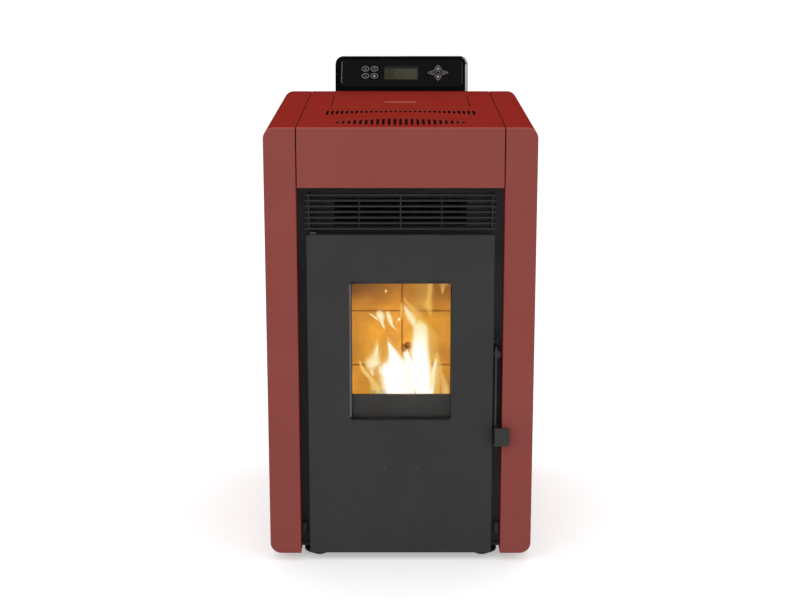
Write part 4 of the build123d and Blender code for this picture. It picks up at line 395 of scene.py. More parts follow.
def make_dust():
    """Pale dust or ash that settles on faces that look up."""
    group, given, result = new_group(
        "settled_dust",
        (("Base", "colour", (0.5, 0.5, 0.5)), ("Dust", "colour", (0.35, 0.33, 0.30)),
         ("Amount", "value", 0.3), ("Scale", "value", 40.0)),
        (("Color", "colour"),))
    facing_up = remap(axes(facing(group))["Z"], 0.35, 0.95, smooth=True)
    patch = remap(noise(place(group), given["Scale"], 5.0, 0.65), 0.3, 0.75)
    mask = times(facing_up, patch, given["Amount"])
    feed(result["Color"], mix_colour(mask, given["Base"], given["Dust"]))
    return group


def make_edge_line():
    """Mask of convex edges, where a finish thins with wear and takes a painted highlight."""
    group, given, result = new_group(
        "edge_line", (("Strength", "value", 1.0), ("Break", "value", 120.0)), (("Mask", "value"),))
    rounded = add(group, "Bevel", samples=4)
    rounded.inputs["Radius"].default_value = 0.0012
    turn = vectors("DOT_PRODUCT", rounded.outputs[0],
                   add(group, "NewGeometry").outputs["Normal"])
    bent = remap(turn["Value"], 0.97, 0.80)
    broken = remap(noise(place(group), given["Break"], 3.0), 0.3, 0.6)
    mask = times(bent, broken, given["Strength"])
    feed(result["Mask"], maths("MINIMUM", mask, 1.0))
    return group


def make_firelight():
    """How strongly the fire in the pot lights a surface, from its place and its facing."""
    group, given, result = new_group(
        "firelight",
        (("Centre", "vector", FIRE_CENTRE), ("Reach", "value", 0.22), ("Flicker", "value", 0.3)),
        (("Mask", "value"),))
    where = place(group)
    towards = vectors("SUBTRACT", given["Centre"], where)[0]
    turn = vectors("DOT_PRODUCT", vectors("NORMALIZE", towards)[0], facing(group))
    lit = remap(turn["Value"], 0.0, 0.45)
    near = maths("DIVIDE", vectors("LENGTH", towards)["Value"], given["Reach"])
    fall = maths("DIVIDE", 1.0, maths("ADD", 1.0, maths("POWER", near, 2.0)))
    waver = remap(noise(where, 14.0, 3.0, 0.5), 0.3, 0.7)
    dim = times(one_minus(waver), given["Flicker"])
    feed(result["Mask"], times(lit, fall, one_minus(dim)))
    return group


MOTTLE = make_mottle()
COAT = make_coat()
BRUSH = make_brush()
DUST = make_dust()
EDGE_LINE = make_edge_line()
FIRELIGHT = make_firelight()


def mottled(tree, base, shade, scale, amount):
    """A colour that drifts towards its shade."""
    return use(tree, MOTTLE, Base=base, Shade=shade, Scale=scale, Amount=amount)["Color"]


def worn_and_highlit(tree, base, pale, strength, breaks):
    """A colour made paler along its edges, by wear and a painted highlight."""
    edge = use(tree, EDGE_LINE, Strength=strength, Break=breaks)
    return mix_colour(edge["Mask"], base, pale)


def dusted(tree, base, dust, amount, scale):
    """A colour under settled dust."""
    return use(tree, DUST, Base=base, Dust=dust, Amount=amount, Scale=scale)["Color"]


def peel(tree, scale, rough, spread):
    """Roughness and height of a coat."""
    coat = use(tree, COAT, Scale=scale, Rough=rough, Spread=spread)
    return coat["Roughness"], coat["Height"]


def firelit(tree, reach, flicker):
    """How strongly the fire lights the surface."""
    return use(tree, FIRELIGHT, Reach=reach, Flicker=flicker)["Mask"]


# ------------------------------------------------------------------ materials

def new_finish(name, specular=0.5, metallic=0.0):
    """Empty material; constants sit on the sockets of its Principled shader."""
    finish = bpy.data.materials.new(name)
    finish.use_nodes = True
    shader = shader_of(finish)
    shader["Metallic"].default_value = metallic
    shader["Specular IOR Level"].default_value = specular
    return finish, finish.node_tree


def shader_of(finish):
    """Sockets of a material's Principled shader."""
    return finish.node_tree.nodes["Principled BSDF"].inputs


def complete(finish, colour, rough, height=None, deep=0.0, strength=0.5):
    """Gives a finish its colour and roughness, and a bump from a height, deep metres deep."""
    tree, shader = finish.node_tree, shader_of(finish)
    feed(shader["Base Color"], colour)
    feed(shader["Roughness"], rough)
    if height is not None:
        bump = add(tree, "Bump")
        bump.inputs["Strength"].default_value = strength
        bump.inputs["Distance"].default_value = deep
        feed(bump.inputs["Height"], height)
        feed(shader["Normal"], bump.outputs[0])
    return finish


def shine(finish, colour):
    """Light that a finish gives off by itself."""
    shader = shader_of(finish)
    feed(shader["Emission Color"], colour)
    shader["Emission Strength"].default_value = 1.0


def toned(colour, share, lift=0.0, most=1.0):
    """A colour made darker or paler."""
    return tuple(min(part * share + lift, most) for part in colour)


def red_enamel():
    """Baked red enamel, deep red on top, with painted sheen on upright faces, a painted highlight
    on the front top bend and painted light on the inward returns.
    """
    finish, tree = new_finish("red_enamel", 0.0)
    turn = axes(facing(tree))
    # painted sheen: upright faces are paler than the top
    upright = remap(size_of(turn["Z"]), 0.25, 0.9, 1.0, 0.0, True)
    flat = mix_colour(upright, ENAMEL_DEEP, ENAMEL_FACE_SHEEN)
    # painted highlight along the front top bend
    bend = times(remap(turn["Z"], 0.15, 0.40), remap(turn["Z"], 0.97, 0.80),
                 remap(turn["Y"], -0.10, -0.35))
    # painted light on the inward returns of the side panels
    inward_light = remap(times(axes(place(tree))["X"], turn["X"]), -0.10, -0.14)
    skin = mix_colour(inward_light, mix_colour(bend, flat, ENAMEL_BEND_HIGHLIGHT), ENAMEL_FOLD_LIGHT)
    baked = mottled(tree, skin, mix_colour(0.12, skin, ENAMEL_SHADE), 5.0, 0.8)
    rubbed_and_highlit = worn_and_highlit(tree, baked, ENAMEL_RUBBED_HIGHLIGHT, 0.3, 60.0)
    return complete(finish, dusted(tree, rubbed_and_highlit, ENAMEL_DUST, 0.08, 30.0),
                    *peel(tree, 1100.0, 0.52, 0.10), 0.00005, 0.35)


def powder_coat(name, colour, rough, specular, edge=0.4, dust=0.05, right_side_light=1.0):
    """Textured powder coat of a steel pressing; it may be painted paler on the stove's right side,
    as painted light.
    """
    finish, tree = new_finish(name, specular)
    # painted light: towards the stove's right side the colour is scaled paler
    right = remap(axes(place(tree))["X"], 0.0, 0.16, smooth=True)
    base = mix_colour(right, colour, toned(colour, right_side_light))
    rubbed_and_highlit = worn_and_highlit(tree, mottled(tree, base, toned(colour, 0.82), 7.0, 0.7),
                  toned(colour, 2.2, 0.012), edge, 90.0)
    return complete(finish, dusted(tree, rubbed_and_highlit, COAT_DUST, dust, 30.0),
                    *peel(tree, 1400.0, rough, 0.12), 0.00006)


def bare_metal(name, colour, along, rough, dust=0.1):
    """Drawn, plated or cast bright metal."""
    finish, tree = new_finish(name, metallic=1.0)
    rubbed_and_highlit = worn_and_highlit(tree, mottled(tree, colour, toned(colour, 0.7), 26.0, 0.6),
                  toned(colour, 1.35, most=0.9), 0.5, 200.0)
    brush = use(tree, BRUSH, Along=along, Scale=800.0, Rough=rough, Spread=0.2)
    return complete(finish, dusted(tree, rubbed_and_highlit, METAL_DUST, dust, 60.0),
                    brush["Roughness"], brush["Height"], 0.00004, 0.3)


def galvanised_steel(name, primed_depth):
    """Zinc-dipped sheet with its crystal spangle; its front wall, at a depth, may be primed red."""
    finish, tree = new_finish(name, metallic=1.0)
    crystals = texture("TexVoronoi", place(tree), {"Scale": 95.0}, feature="F1")
    split = add(tree, "SeparateColor")
    feed(split.inputs[0], crystals["Color"])
    spangle = split.outputs["Red"]
    tone = mix_colour(spangle, toned(GALVANISED, 0.72), toned(GALVANISED, 1.2))
    dull = dusted(tree, mottled(tree, tone, GALVANISED_SHADE, 9.0, 0.4), SHEET_DUST, 0.35, 45.0)
    wall = (FRONT_Y + primed_depth) * MM
    primed = remap(axes(place(tree))["Y"], wall + 0.0006, wall + 0.0003)
    feed(shader_of(finish)["Metallic"], one_minus(primed))
    return complete(finish, mix_colour(primed, dull, HOPPER_PRIMER),
                    remap(spangle, 0.0, 1.0, 0.30, 0.48), spangle, 0.00003, 0.25)


def cast_iron(name, colour, grain, rough):
    """Sand-cast iron under a stove paint: granular skin, soot in the hollows."""
    finish, tree = new_finish(name, 0.35)
    sand = noise(place(tree), grain, 4.0, 0.65)
    painted = mottled(tree, colour, toned(colour, 0.55), 22.0, 0.8)
    tone = mix_colour(remap(sand, 0.55, 0.75, 0.0, 0.35), painted, toned(colour, 2.0))
    rubbed_and_highlit = worn_and_highlit(tree, tone, toned(colour, 2.6, 0.01), 0.45, 160.0)
    roughness = peel(tree, grain, rough, 0.15)[0]
    return complete(finish, dusted(tree, rubbed_and_highlit, IRON_DUST, 0.25, 55.0),
                    roughness, sand, 0.00025, 0.6)


def firebox_steel(name, colour, painted_firelight, painted_glow_base):
    """Heat-blued steel of the firebox, giving off painted firelight as its own glow, with red
    primer on its outer top.
    """
    finish, tree = new_finish(name, 0.03)
    level = axes(place(tree))["Z"]
    outer_top = times(remap(level, *FIREBOX_TOP), remap(axes(facing(tree))["Z"], 0.80, 0.95))
    below_baffle = remap(level, *BELOW_BAFFLE, 0.0, painted_firelight)
    # painted firelight: the steel gives off the fire's light as its own glow
    glow = times(firelit(tree, 0.16, 0.3), below_baffle)
    shine(finish, mix_colour(glow, painted_glow_base, FIRE_GOLD))
    ashy = dusted(tree, mottled(tree, colour, SOOT, 16.0, 0.9), FIREBOX_DUST, 0.2, 50.0)
    return complete(finish, mix_colour(outer_top, ashy, OXIDE_PRIMER),
                    *peel(tree, 500.0, 0.6, 0.2), 0.00015)


def firebrick(name, joint_axis, joint_at, seam_axis, seam_at):
    """Pressed vermiculite brick, brown in its joints; it gives off painted firelight as its own
    gold glow, with painted shade on the upper left bricks.
    """
    finish, tree = new_finish(name, 0.1)
    where = place(tree)
    spot = axes(where)
    grit = noise(where, 260.0, 5.0, 0.7)
    flakes = texture("TexVoronoi", where, {"Scale": 170.0}, feature="F1")
    pits = remap(flakes["Distance"], 0.12, 0.32)
    level = spot[joint_axis]
    if joint_axis == "X":
        level = size_of(level)
    joint = remap(level, joint_at - 0.0002, joint_at + 0.0009)
    for axis, seam in ((seam_axis, seam_at), ("Z", BRICK_ROWS[0]), ("Z", BRICK_ROWS[1])):
        offset = size_of(maths("SUBTRACT", spot[axis], seam))
        joint = larger(joint, remap(offset, *JOINT_EDGE))
    notch = times(between(spot["X"], NOTCH_ACROSS), between(spot["Z"], NOTCH_LEVELS))
    speckled = mix_colour(remap(grit, 0.40, 0.66, 0.0, 0.5),
                          mottled(tree, BRICK, BRICK_SHADE, 18.0, 0.8), toned(BRICK, 0.55))
    sooty = mix_colour(times(joint, 0.7), speckled, JOINT_SOOT)
    # painted shade: the upper left bricks get less of the painted firelight
    upper = remap(spot["Z"], *SHADED_UPPER_BRICKS, 0.0, 0.84, True)
    left = remap(spot["X"], *SHADED_BRICKS_TO_LEFT, 0.34, 1.0, True)
    shaded = one_minus(times(upper, left))
    # painted firelight: the bricks give off the fire's light as their own glow
    painted_firelight = times(firelit(tree, 0.21, 0.45), shaded, clamp=True)
    grain = remap(grit, 0.30, 0.70, 1.12, 0.84)
    bright = mix_colour(times(painted_firelight, grain, 1.12, clamp=True), BLACK,
                        mix_colour(painted_firelight, FIRE_DEEP, FIRE_GOLD))
    glow = mix_colour(times(joint, 0.85), bright, JOINT_BROWN, "MULTIPLY")
    shine(finish, mix_colour(notch, glow, NOTCH_BROWN, "MULTIPLY"))
    return complete(finish, mix_colour(notch, sooty, NOTCH_BROWN, "MULTIPLY"), 0.9,
                    times(pits, grit), 0.0006)


def stove_glass():
    """Clear ceramic glass with a breath of soot towards its rim."""
    finish, tree = new_finish("door_glass")
    shader = shader_of(finish)
    shader["Transmission Weight"].default_value = 1.0
    shader["IOR"].default_value = 1.15
    spot = axes(place(tree))
    side = remap(size_of(spot["X"]), *GLASS_SIDES, smooth=True)
    low = remap(spot["Z"], *GLASS_FOOT, smooth=True)
    streak = remap(noise(place(tree, (1, 1, 0.3)), 30.0, 5.0), 0.35, 0.75)
    haze = times(larger(side, low), streak)
    return complete(finish, mix_colour(times(haze, 0.4), GLASS_CLEAR, GLASS_SOOTED),
                    remap(haze, 0.0, 1.0, 0.0, 0.06))


def moulded_plastic(name, colour, rough, specular=0.4, grain=900.0):
    """Injection-moulded plastic with a fine spark-eroded grain."""
    finish, tree = new_finish(name, specular)
    rubbed_and_highlit = worn_and_highlit(tree, mottled(tree, colour, toned(colour, 0.8), 20.0, 0.6),
                  toned(colour, 2, 0.02), 0.35, 220.0)
    return complete(finish, dusted(tree, rubbed_and_highlit, PLASTIC_DUST, 0.05, 60.0),
                    *peel(tree, grain, rough, 0.1), 0.00003, 0.3)


def lcd_glass():
    """Unlit liquid-crystal window: olive film, faint cell grid, greyer to the right."""
    finish, tree = new_finish("lcd", 0.08)
    spot = axes(place(tree))
    sideways = maths("SUBTRACT", spot["X"], CONSOLE_MIDDLE_X * MM)
    film = mix_colour(remap(sideways, -LCD_HALF, LCD_HALF, smooth=True), LCD_LEFT, LCD_RIGHT)
    cloud = use(tree, MOTTLE, Base=film, Shade=toned(LCD_RIGHT, 1.25), Scale=55.0, Amount=0.5)
    column, line = (remap(maths("FRACT", times(spot[axis], LCD_CELLS)), *LCD_CELL_GAP)
                    for axis in "XZ")
    gap = larger(column, line)
    celled = mix_colour(times(gap, 0.3), cloud["Color"], SOOT)
    ends = larger(remap(sideways, *LCD_RIGHT_EDGE), remap(sideways, *LCD_LEFT_EDGE))
    edge = larger(ends, remap(spot["Z"], *LCD_TOP_EDGE))
    outside = larger(remap(sideways, *LCD_RIGHT_END), remap(spot["Z"], *LCD_TOP_END, 0.0, 0.6))
    framed = mix_colour(outside, mix_colour(edge, celled, LCD_BORDER), CONSOLE_BLACK)
    return complete(finish, framed, remap(cloud["Mask"], 0.0, 0.5, 0.16, 0.24), gap, 0.00001, 0.2)


def circuit_board():
    """Green solder mask with fine copper tracks under it."""
    finish, tree = new_finish("board_green", 0.4)
    waves = texture("TexWave", place(tree), {"Scale": 90.0, "Distortion": 6.0, "Detail": 0.0},
                    wave_type="BANDS", bands_direction="Z")
    track = remap(waves["Fac"], 0.72, 0.80)
    tone = mix_colour(times(track, 0.6), BOARD_GREEN, BOARD_TRACK)
    return complete(finish, mottled(tree, tone, BOARD_SHADE, 25.0, 0.5),
                    remap(track, 0.0, 1.0, 0.30, 0.42), track, 0.00004, 0.4)


def ceramic():
    """Sintered ignitor rod: off-white, scorched at its tip."""
    finish, tree = new_finish("ignitor_ceramic", 0.3)
    scorch = remap(axes(place(tree))["Y"], *SCORCHED_TIP, smooth=True)
    tone = mix_colour(scorch, CERAMIC_WHITE, CERAMIC_SCORCH)
    return complete(finish, mottled(tree, tone, CERAMIC_SHADE, 60.0, 0.5),
                    *peel(tree, 600.0, 0.7, 0.2), 0.0001)


def glass_fibre_rope():
    """Knitted glass-fibre seal, grey with soot on its face."""
    finish, tree = new_finish("rope_seal", 0.15)
    where = place(tree)
    weave = texture("TexWave", where, {"Scale": 320.0, "Distortion": 1.5},
                    wave_type="BANDS", bands_direction="DIAGONAL")["Fac"]
    threads = mix_colour(times(weave, 0.5), toned(ROPE_GREY, 0.35),
                         mottled(tree, ROPE_GREY, ROPE_SHADE, 35.0, 0.9))
    knit = maths("ADD", weave, noise(where, 1500.0, 2.0))
    return complete(finish, threads, 0.95, knit, 0.0004, 0.6)


def foot_rubber():
    """Black rubber of the feet, a little dusty."""
    finish, tree = new_finish("foot_rubber", 0.25)
    base = mottled(tree, RUBBER_BLACK, RUBBER_SHADE, 40.0, 0.8)
    return complete(finish, dusted(tree, base, FLOOR_DUST, 0.1, 70.0),
                    *peel(tree, 700.0, 0.7, 0.15), 0.0001)


def printed_ink(name, colour):
    """Screen-printed line, slightly uneven in tone."""
    finish, tree = new_finish(name, 0.2)
    return complete(finish, mottled(tree, colour, toned(colour, 0.7), 160.0, 0.8),
                    peel(tree, 2000.0, 0.55, 0.1)[0])


def flame(name, hot, cool, span, body, thinnest, rim):
    """Burning gas: hot and bright low down, thinner and more orange towards the tips."""
    finish, tree = new_finish(name, 0.0)
    climb = remap(axes(place(tree))["Z"], *span, smooth=True)
    licks = noise(place(tree, (1, 1, 0.35)), 55.0, 4.0, 0.55)
    silhouette = add(tree, "LayerWeight")
    silhouette.inputs["Blend"].default_value = 0.5
    centre = one_minus(silhouette.outputs["Facing"])
    cooler = maths("ADD", remap(licks, 0.3, 0.7, -0.25, 0.25), remap(centre, 0.95, 0.40, 0.0, rim))
    heat = maths("ADD", climb, cooler, clamp=True)
    shine(finish, mix_colour(heat, hot, cool))
    soft = maths("POWER", centre, 5.0)
    streaks = remap(licks, 0.25, 0.6, thinnest, 1.0)
    feed(shader_of(finish)["Alpha"], times(soft, streaks, body, clamp=True))
    return complete(finish, BLACK, 1.0)


def ember():
    """Wood pellet in the pot: glowing seams in a charring skin."""
    finish, tree = new_finish("ember", 0.1)
    seams = noise(place(tree), 240.0, 4.0, 0.6)
    hot = remap(seams, 0.42, 0.60, smooth=True)
    shine(finish, mix_colour(hot, EMBER_DULL, EMBER_HOT))
    return complete(finish, mix_colour(hot, EMBER_CHAR, EMBER_SKIN), 0.95, seams, 0.0006, 0.6)


def wood_pellet():
    """Pressed sawdust with a light glaze from the die."""
    finish, tree = new_finish("wood_pellet", 0.25)
    fibre = noise(place(tree), 700.0, 5.0, 0.7)
    flecks = mix_colour(remap(fibre, 0.52, 0.70, 0.0, 0.6),
                        mottled(tree, PELLET_WOOD, PELLET_DARK, 75.0, 0.9), PELLET_FLECK)
    return complete(finish, flecks, remap(fibre, 0.3, 0.7, 0.48, 0.8), fibre, 0.0002)


def wood_ash():
    """Fine pale ash with a few black crumbs."""
    finish, tree = new_finish("wood_ash", 0.05)
    where = place(tree)
    crumbs = remap(noise(where, 210.0, 2.0), 0.66, 0.72)
    powder = mottled(tree, ASH_PALE, ASH_SHADE, 30.0, 0.9)
    return complete(finish, mix_colour(crumbs, powder, ASH_CRUMB), 1.0,
                    noise(where, 320.0, 5.0, 0.7), 0.001, 0.6)


# direction of the scratches of drawn and plated metal, and the depth of a primed wall
UPWARD = (1, 1, 0.05)
NO_WALL = -10

ROPE = glass_fibre_rope()
RUBBER = foot_rubber()
INK = printed_ink("grey_print", PRINT_GREY)
WHITE_INK = printed_ink("white_print", PRINT_WHITE)
FASCIA_EDGE_HIGHLIGHT_INK = printed_ink("fascia_edge_highlight_print", HIGHLIGHT_LINE_GREY)
# bright metals for painted highlights on the console and the window edge
HOUSING_HIGHLIGHT = bare_metal("housing_highlight_metal", HOUSING_HIGHLIGHT_GREY, UPWARD, 0.25, 0.0)
FASCIA_HIGHLIGHT = bare_metal("fascia_highlight_metal", FASCIA_HIGHLIGHT_GREY, UPWARD, 0.3, 0.0)
WINDOW_HIGHLIGHT_STEEL = bare_metal("window_highlight_metal", WINDOW_HIGHLIGHT_GREY, UPWARD, 0.5, 0.0)
PELLET = wood_pellet()
ASH = wood_ash()
EMBER = ember()
FLAME_CORE = flame("flame_core", CORE_HOT, CORE_COOL, (0.325, 0.43), 2.4, 0.75, 0.5)
FLAME_VEIL = flame("flame_veil", VEIL_HOT, VEIL_COOL, (0.28, 0.44), 0.60, 0.45, 0.4)
FLAME_WISP = flame("flame_wisp", WISP_HOT, WISP_COOL, (0.41, 0.50), 1.15, 0.7, 0.45)
FLAME_HAZE = flame("flame_haze", HAZE_HOT, HAZE_COOL, (0.38, 0.46), 0.30, 0.4, 0.3)

# each finish of the CAD's own nodes, and the nodes that wear it
NODE_FINISHES = (
    (red_enamel(), "side_panel_left side_panel_right top_front_cover hopper_lid"),
    (powder_coat("anthracite_paint", ANTHRACITE, 0.6, 0.2), "door_skin"),
    # painted light: the black frame paint is paler on the stove's right side
    (powder_coat("black_paint", FRAME_BLACK, 0.62, 0.15, right_side_light=1.5),
     "front_frame base_plate door_hinge_pins latch_keeper lid_hinge"),
    (powder_coat("grille_paint", GRILLE_BLACK, 0.55, 0.2, edge=0.6), "outlet_grille"),
    (powder_coat("rear_paint", REAR_BLACK, 0.6, 0.3, dust=0.1), "rear_panel"),
    (powder_coat("handle_paint", HANDLE_BLACK, 0.42, 0.35), "handle_lever"),
    (powder_coat("pivot_paint", PIVOT_GREY, 0.6, 0.2), "handle_pivot"),
    (galvanised_steel("galvanised_steel", NO_WALL),
     "firebox_supports auger_tube smoke_duct room_fan_housing air_intake"),
    (galvanised_steel("hopper_steel", HOPPER_FRONT_DEPTH), "pellet_hopper"),
    (cast_iron("cast_iron", CAST_IRON, 420.0, 0.62),
     "door_inner_frame exhaust_fan_housing flue_spigot"),
    (cast_iron("pot_iron", POT_GREY, 300.0, 0.7), "burn_pot"),
    (firebox_steel("firebox_steel", FIREBOX_STEEL, 0.06, BLACK),
     "firebox_shell exchanger_tubes pot_cradle ash_drawer"),
    (firebox_steel("chute_steel", CHUTE_RUST, 0.35, CHUTE_GLOW), "pellet_chute"),
    (firebrick("rear_firebrick", "Y", (FRONT_Y + REAR_BRICK_DEPTH) * MM, "X", REAR_SEAM_X * MM),
     "rear_firebricks"),
    (firebrick("side_firebrick", "X", SIDE_BRICK_X, "Y", (FRONT_Y + SIDE_SEAM_DEPTH) * MM),
     "side_firebricks"),
    (firebrick("baffle_board", "X", OUT_OF_REACH, "X", OUT_OF_REACH), "baffle_plate"),
    (stove_glass(), "door_glass"),
    (ROPE, "door_seals"),
    (bare_metal("zinc_steel", ZINC, UPWARD, 0.3), "exhaust_impeller"),
    (bare_metal("screw_steel", SCREW_GREY, (1, 1, 1), 0.38), "door_fasteners panel_screws"),
    (bare_metal("auger_steel", AUGER_GREY, (0.1, 1, 1), 0.36), "auger_screw"),
    (bare_metal("rotor_aluminium", MOTOR_GREY, (1, 0.06, 1), 0.38),
     "room_fan_rotor exhaust_motor room_fan_motor auger_gearmotor"),
    (ceramic(), "ignitor"),
    (circuit_board(), "control_board"),
    (moulded_plastic("black_plastic", PLASTIC_BLACK, 0.45),
     "power_inlet power_switch safety_devices"),
    (moulded_plastic("gloss_black", HOUSING_BLACK, 0.16, 0.02, 300.0), "console_housing"),
    (moulded_plastic("fascia_black", CONSOLE_BLACK, 0.10, 0.06, 300.0), "console_fascia"),
    (lcd_glass(), "lcd_screen"),
    (moulded_plastic("key_black", KEY_BLACK, 0.35, 0.06),
     "key_mode key_timer key_fan key_flame nav_up nav_down nav_left nav_right nav_ok"),
    (RUBBER, "feet"),
)


def dress_nodes():
    """Gives every carried-over CAD node its finish."""
    for finish, names in NODE_FINISHES:
        for name in names.split():
            mesh = NODES[name].data
            mesh.materials.clear()
            mesh.materials.append(finish)
            for face in mesh.polygons:
                face.material_index = 0


# ------------------------------------------------------------------ mesh helpers

def add_object(name, data):
    """Object in the scene, made from a mesh, a lamp or a camera."""
    made = bpy.data.objects.new(name, data)
    bpy.context.scene.collection.objects.link(made)
    return made


def piece(name, work, finish, body, smooth_angle=40):
    """Turns finished mesh work into a piece that rides on a body."""
    bmesh.ops.recalc_face_normals(work, faces=work.faces[:])
    mesh = bpy.data.meshes.new(name)
    work.to_mesh(mesh)
    work.free()
    mesh.materials.append(finish)
    mesh.shade_smooth()
    mesh.set_sharp_from_angle(angle=math.radians(smooth_angle))
    made = add_object(name, mesh)
    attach(made, body)
    return made


def around(sides):
    """Cosine and sine of evenly spaced directions round a circle."""
    turns = [2 * math.pi * k / sides for k in range(sides)]
    return [(math.cos(turn), math.sin(turn)) for turn in turns]


def vertices(work, points):
    return [work.verts.new(point) for point in points]


def join_rings(work, lower, upper):
    """Closed row of faces between two rings of vertices."""
    for k in range(len(lower)):
        after = (k + 1) % len(lower)
        work.faces.new((lower[k], lower[after], upper[after], upper[k]))


def skin_rings(work, rings):
    """Joins rings of points into one skin, capped at both ends."""
    rows = [vertices(work, ring) for ring in rings]
    for lower, upper in zip(rows, rows[1:]):
        join_rings(work, lower, upper)
    work.faces.new(rows[0][::-1])
    work.faces.new(rows[-1])


def band(work, outer, inner, lift):
    """Flat closed band between two outlines of equal count, raised by the vector lift."""
    low_out = vertices(work, outer)
    low_in = vertices(work, inner)
    high_out = vertices(work, [point + lift for point in outer])
    high_in = vertices(work, [point + lift for point in inner])
    for i in range(len(outer)):
        j = (i + 1) % len(outer)
        for first, second in ((high_out, high_in), (low_in, low_out), (low_out, high_out),
                              (high_in, low_in)):
            work.faces.new((first[i], first[j], second[j], second[i]))


def raised_shape(work, outline, lift):
    """Flat closed shape raised by the vector lift."""
    low = vertices(work, outline)
    high = vertices(work, [point + lift for point in outline])
    work.faces.new(high)
    work.faces.new(low[::-1])
    join_rings(work, low, high)


def smooth_line(points, steps):
    """Catmull-Rom line through tuples of numbers."""
    padded = [points[0], *points, points[-1]]
    line = []
    for corners in zip(padded, padded[1:], padded[2:], padded[3:]):
        for step in range(steps):
            t = step / steps
            line.append(tuple(
                0.5 * (2 * b + (c - a) * t + (2 * a - 5 * b + 4 * c - d) * t * t
                       + (3 * b - a - 3 * c + d) * t ** 3)
                for a, b, c, d in zip(*corners)))
    line.append(tuple(points[-1]))
    return line


# ------------------------------------------------------------------ fire

THINNEST_FLAME = 0.15
FLAME_VOXEL = 1.3
FLAME_EASING = 6
FLAME_STEPS = 6
FLAME_SIDES = 20


def tongue(work, spine, depth, flatness):
    """One flame tongue: spine is (x, z, half width) from its root to its tip."""
    rings = []
    for x, z, half in smooth_line(spine, FLAME_STEPS):
        half = max(half, THINNEST_FLAME)
        rings.append([at(x + half * c, depth + half * flatness * s, z)
                      for c, s in around(FLAME_SIDES)])
    skin_rings(work, rings)


POT_MIDDLE = 161
# each tongue is its spine and how far behind the pot's middle it stands
CORE_TONGUES = (
    (((0, 250, 30), (-4, 280, 29), (-10, 309, 28), (-13, 327, 27), (-9, 343, 17), (-13, 356, 10),
      (-19, 368, 5), (-24, 379, 0.5)), 0),
    (((44, 250, 20), (43, 276, 19), (39, 320, 19), (37, 345, 18), (37, 364, 16.5),
      (37.7, 382, 15.6), (38, 400, 14), (37.5, 410, 11.5), (36.5, 417, 5), (36, 419, 1)), 6),
    (((56, 260, 7), (56.5, 285, 6.5), (57.5, 305, 4.5), (60, 318, 1)), -4),
    (((8, 260, 25), (10, 300, 25), (12, 330, 20), (13, 348, 12), (14, 357, 6), (14, 361, 1)), 10),
)
VEIL_TONGUES = (
    (((0, 248, 40), (-6, 290, 40), (-12, 325, 38), (-10, 345, 27), (-15, 360, 17), (-20, 372, 9),
      (-25, 384, 1)), 18),
    (((44, 250, 28), (42, 300, 27), (38, 350, 24), (38, 390, 21), (36, 412, 16), (30, 428, 11),
      (20, 440, 8), (10, 452, 4), (4, 460, 1)), 20),
    (((-52, 306, 4), (-56, 320, 10), (-53, 335, 17), (-51, 348, 14), (-47, 360, 9),
      (-43, 380, 2)), 14),
    (((-30, 270, 6), (-45, 290, 5.5), (-60, 303, 5), (-71, 316, 4.5), (-77, 330, 2),
      (-79, 338, 1)), 12),
    (((86, 262, 8), (84, 285, 8), (79, 305, 6), (76, 320, 3), (75, 330, 1)), 14),
    (((58, 252, 16), (62, 285, 17), (68, 312, 12), (70, 335, 7), (70, 356, 1)), 8),
    (((3, 418, 1), (2, 430, 3.5), (2, 440, 4), (2.5, 449, 3), (3, 455, 0.8)), 0),
    (((-40, 262, 13), (-43, 288, 13), (-48, 303, 10), (-55, 317, 6), (-60, 328, 1)), -40),
    (((57, 424, 1), (55, 434, 5), (52, 444, 9), (52, 456, 7), (54, 466, 5), (55, 476, 5.5),
      (55.5, 488, 6), (57, 500, 4)), 0),
    (((79, 466, 0.8), (79, 473, 3), (79.5, 480, 5.5), (81, 487, 10), (84, 494, 12)), 5),
)
HAZE_TONGUES = (
    (((20, 415, 10), (30, 432, 18), (40, 452, 22), (46, 472, 20), (38, 488, 26), (36, 500, 30)), 0),
    (((62, 335, 8), (63, 360, 12), (60, 385, 11), (56, 405, 3)), 26),
)
WISP_TONGUES = (
    (((-52, 311, 1), (-55, 320, 5), (-53, 330, 11), (-51, 338, 12.5), (-50, 346, 10.5),
      (-47, 356, 6), (-44.5, 367, 2.5), (-43.4, 375, 0.5)), -8),
    (((58, 285, 6), (59.5, 305, 6), (62, 320, 4.6), (66, 335, 3.0), (67.5, 347, 0.6)), -6),
    (((-29.7, 400, 0.6), (-33, 407, 2.4), (-36, 414.5, 4.3), (-37.5, 422, 6.7), (-39, 431, 6.7),
      (-39.5, 437, 4), (-39.5, 440, 1)), 4),
    (((-44, 419, 3), (-52, 426, 2.6), (-58, 429.5, 1.5), (-62, 431, 0.5)), 6),
    (((-7, 399.5, 0.6), (-12, 403, 1.8), (-16.5, 408, 3), (-19.5, 417, 4.5), (-22, 427, 4.4),
      (-24, 434, 3), (-25, 437.5, 0.8)), 2),
    (((-3, 415, 0.6), (-3, 418, 2.4), (-3, 421.5, 2.6), (-2.5, 425, 0.8)), 0),
    (((27, 402, 4), (22, 416, 8), (16.5, 430, 7.5), (11, 440, 4.5), (8.5, 447, 1)), 8),
    (((-27.4, 471, 0.5), (-27.4, 473.5, 2.3), (-27.4, 476.5, 2.0), (-27.4, 479.5, 0.5)), 0),
)


def burning_gas(name, tongues, finish, spread, flatness=1.0):
    """One group of tongues, spread a little because each thins away towards its outline."""
    work = bmesh.new()
    for spine, offset in tongues:
        wide = [(x, z, half * spread) for x, z, half in spine]
        tongue(work, wide, POT_MIDDLE + offset, flatness)
    return piece(name, work, finish, "pot", 180)


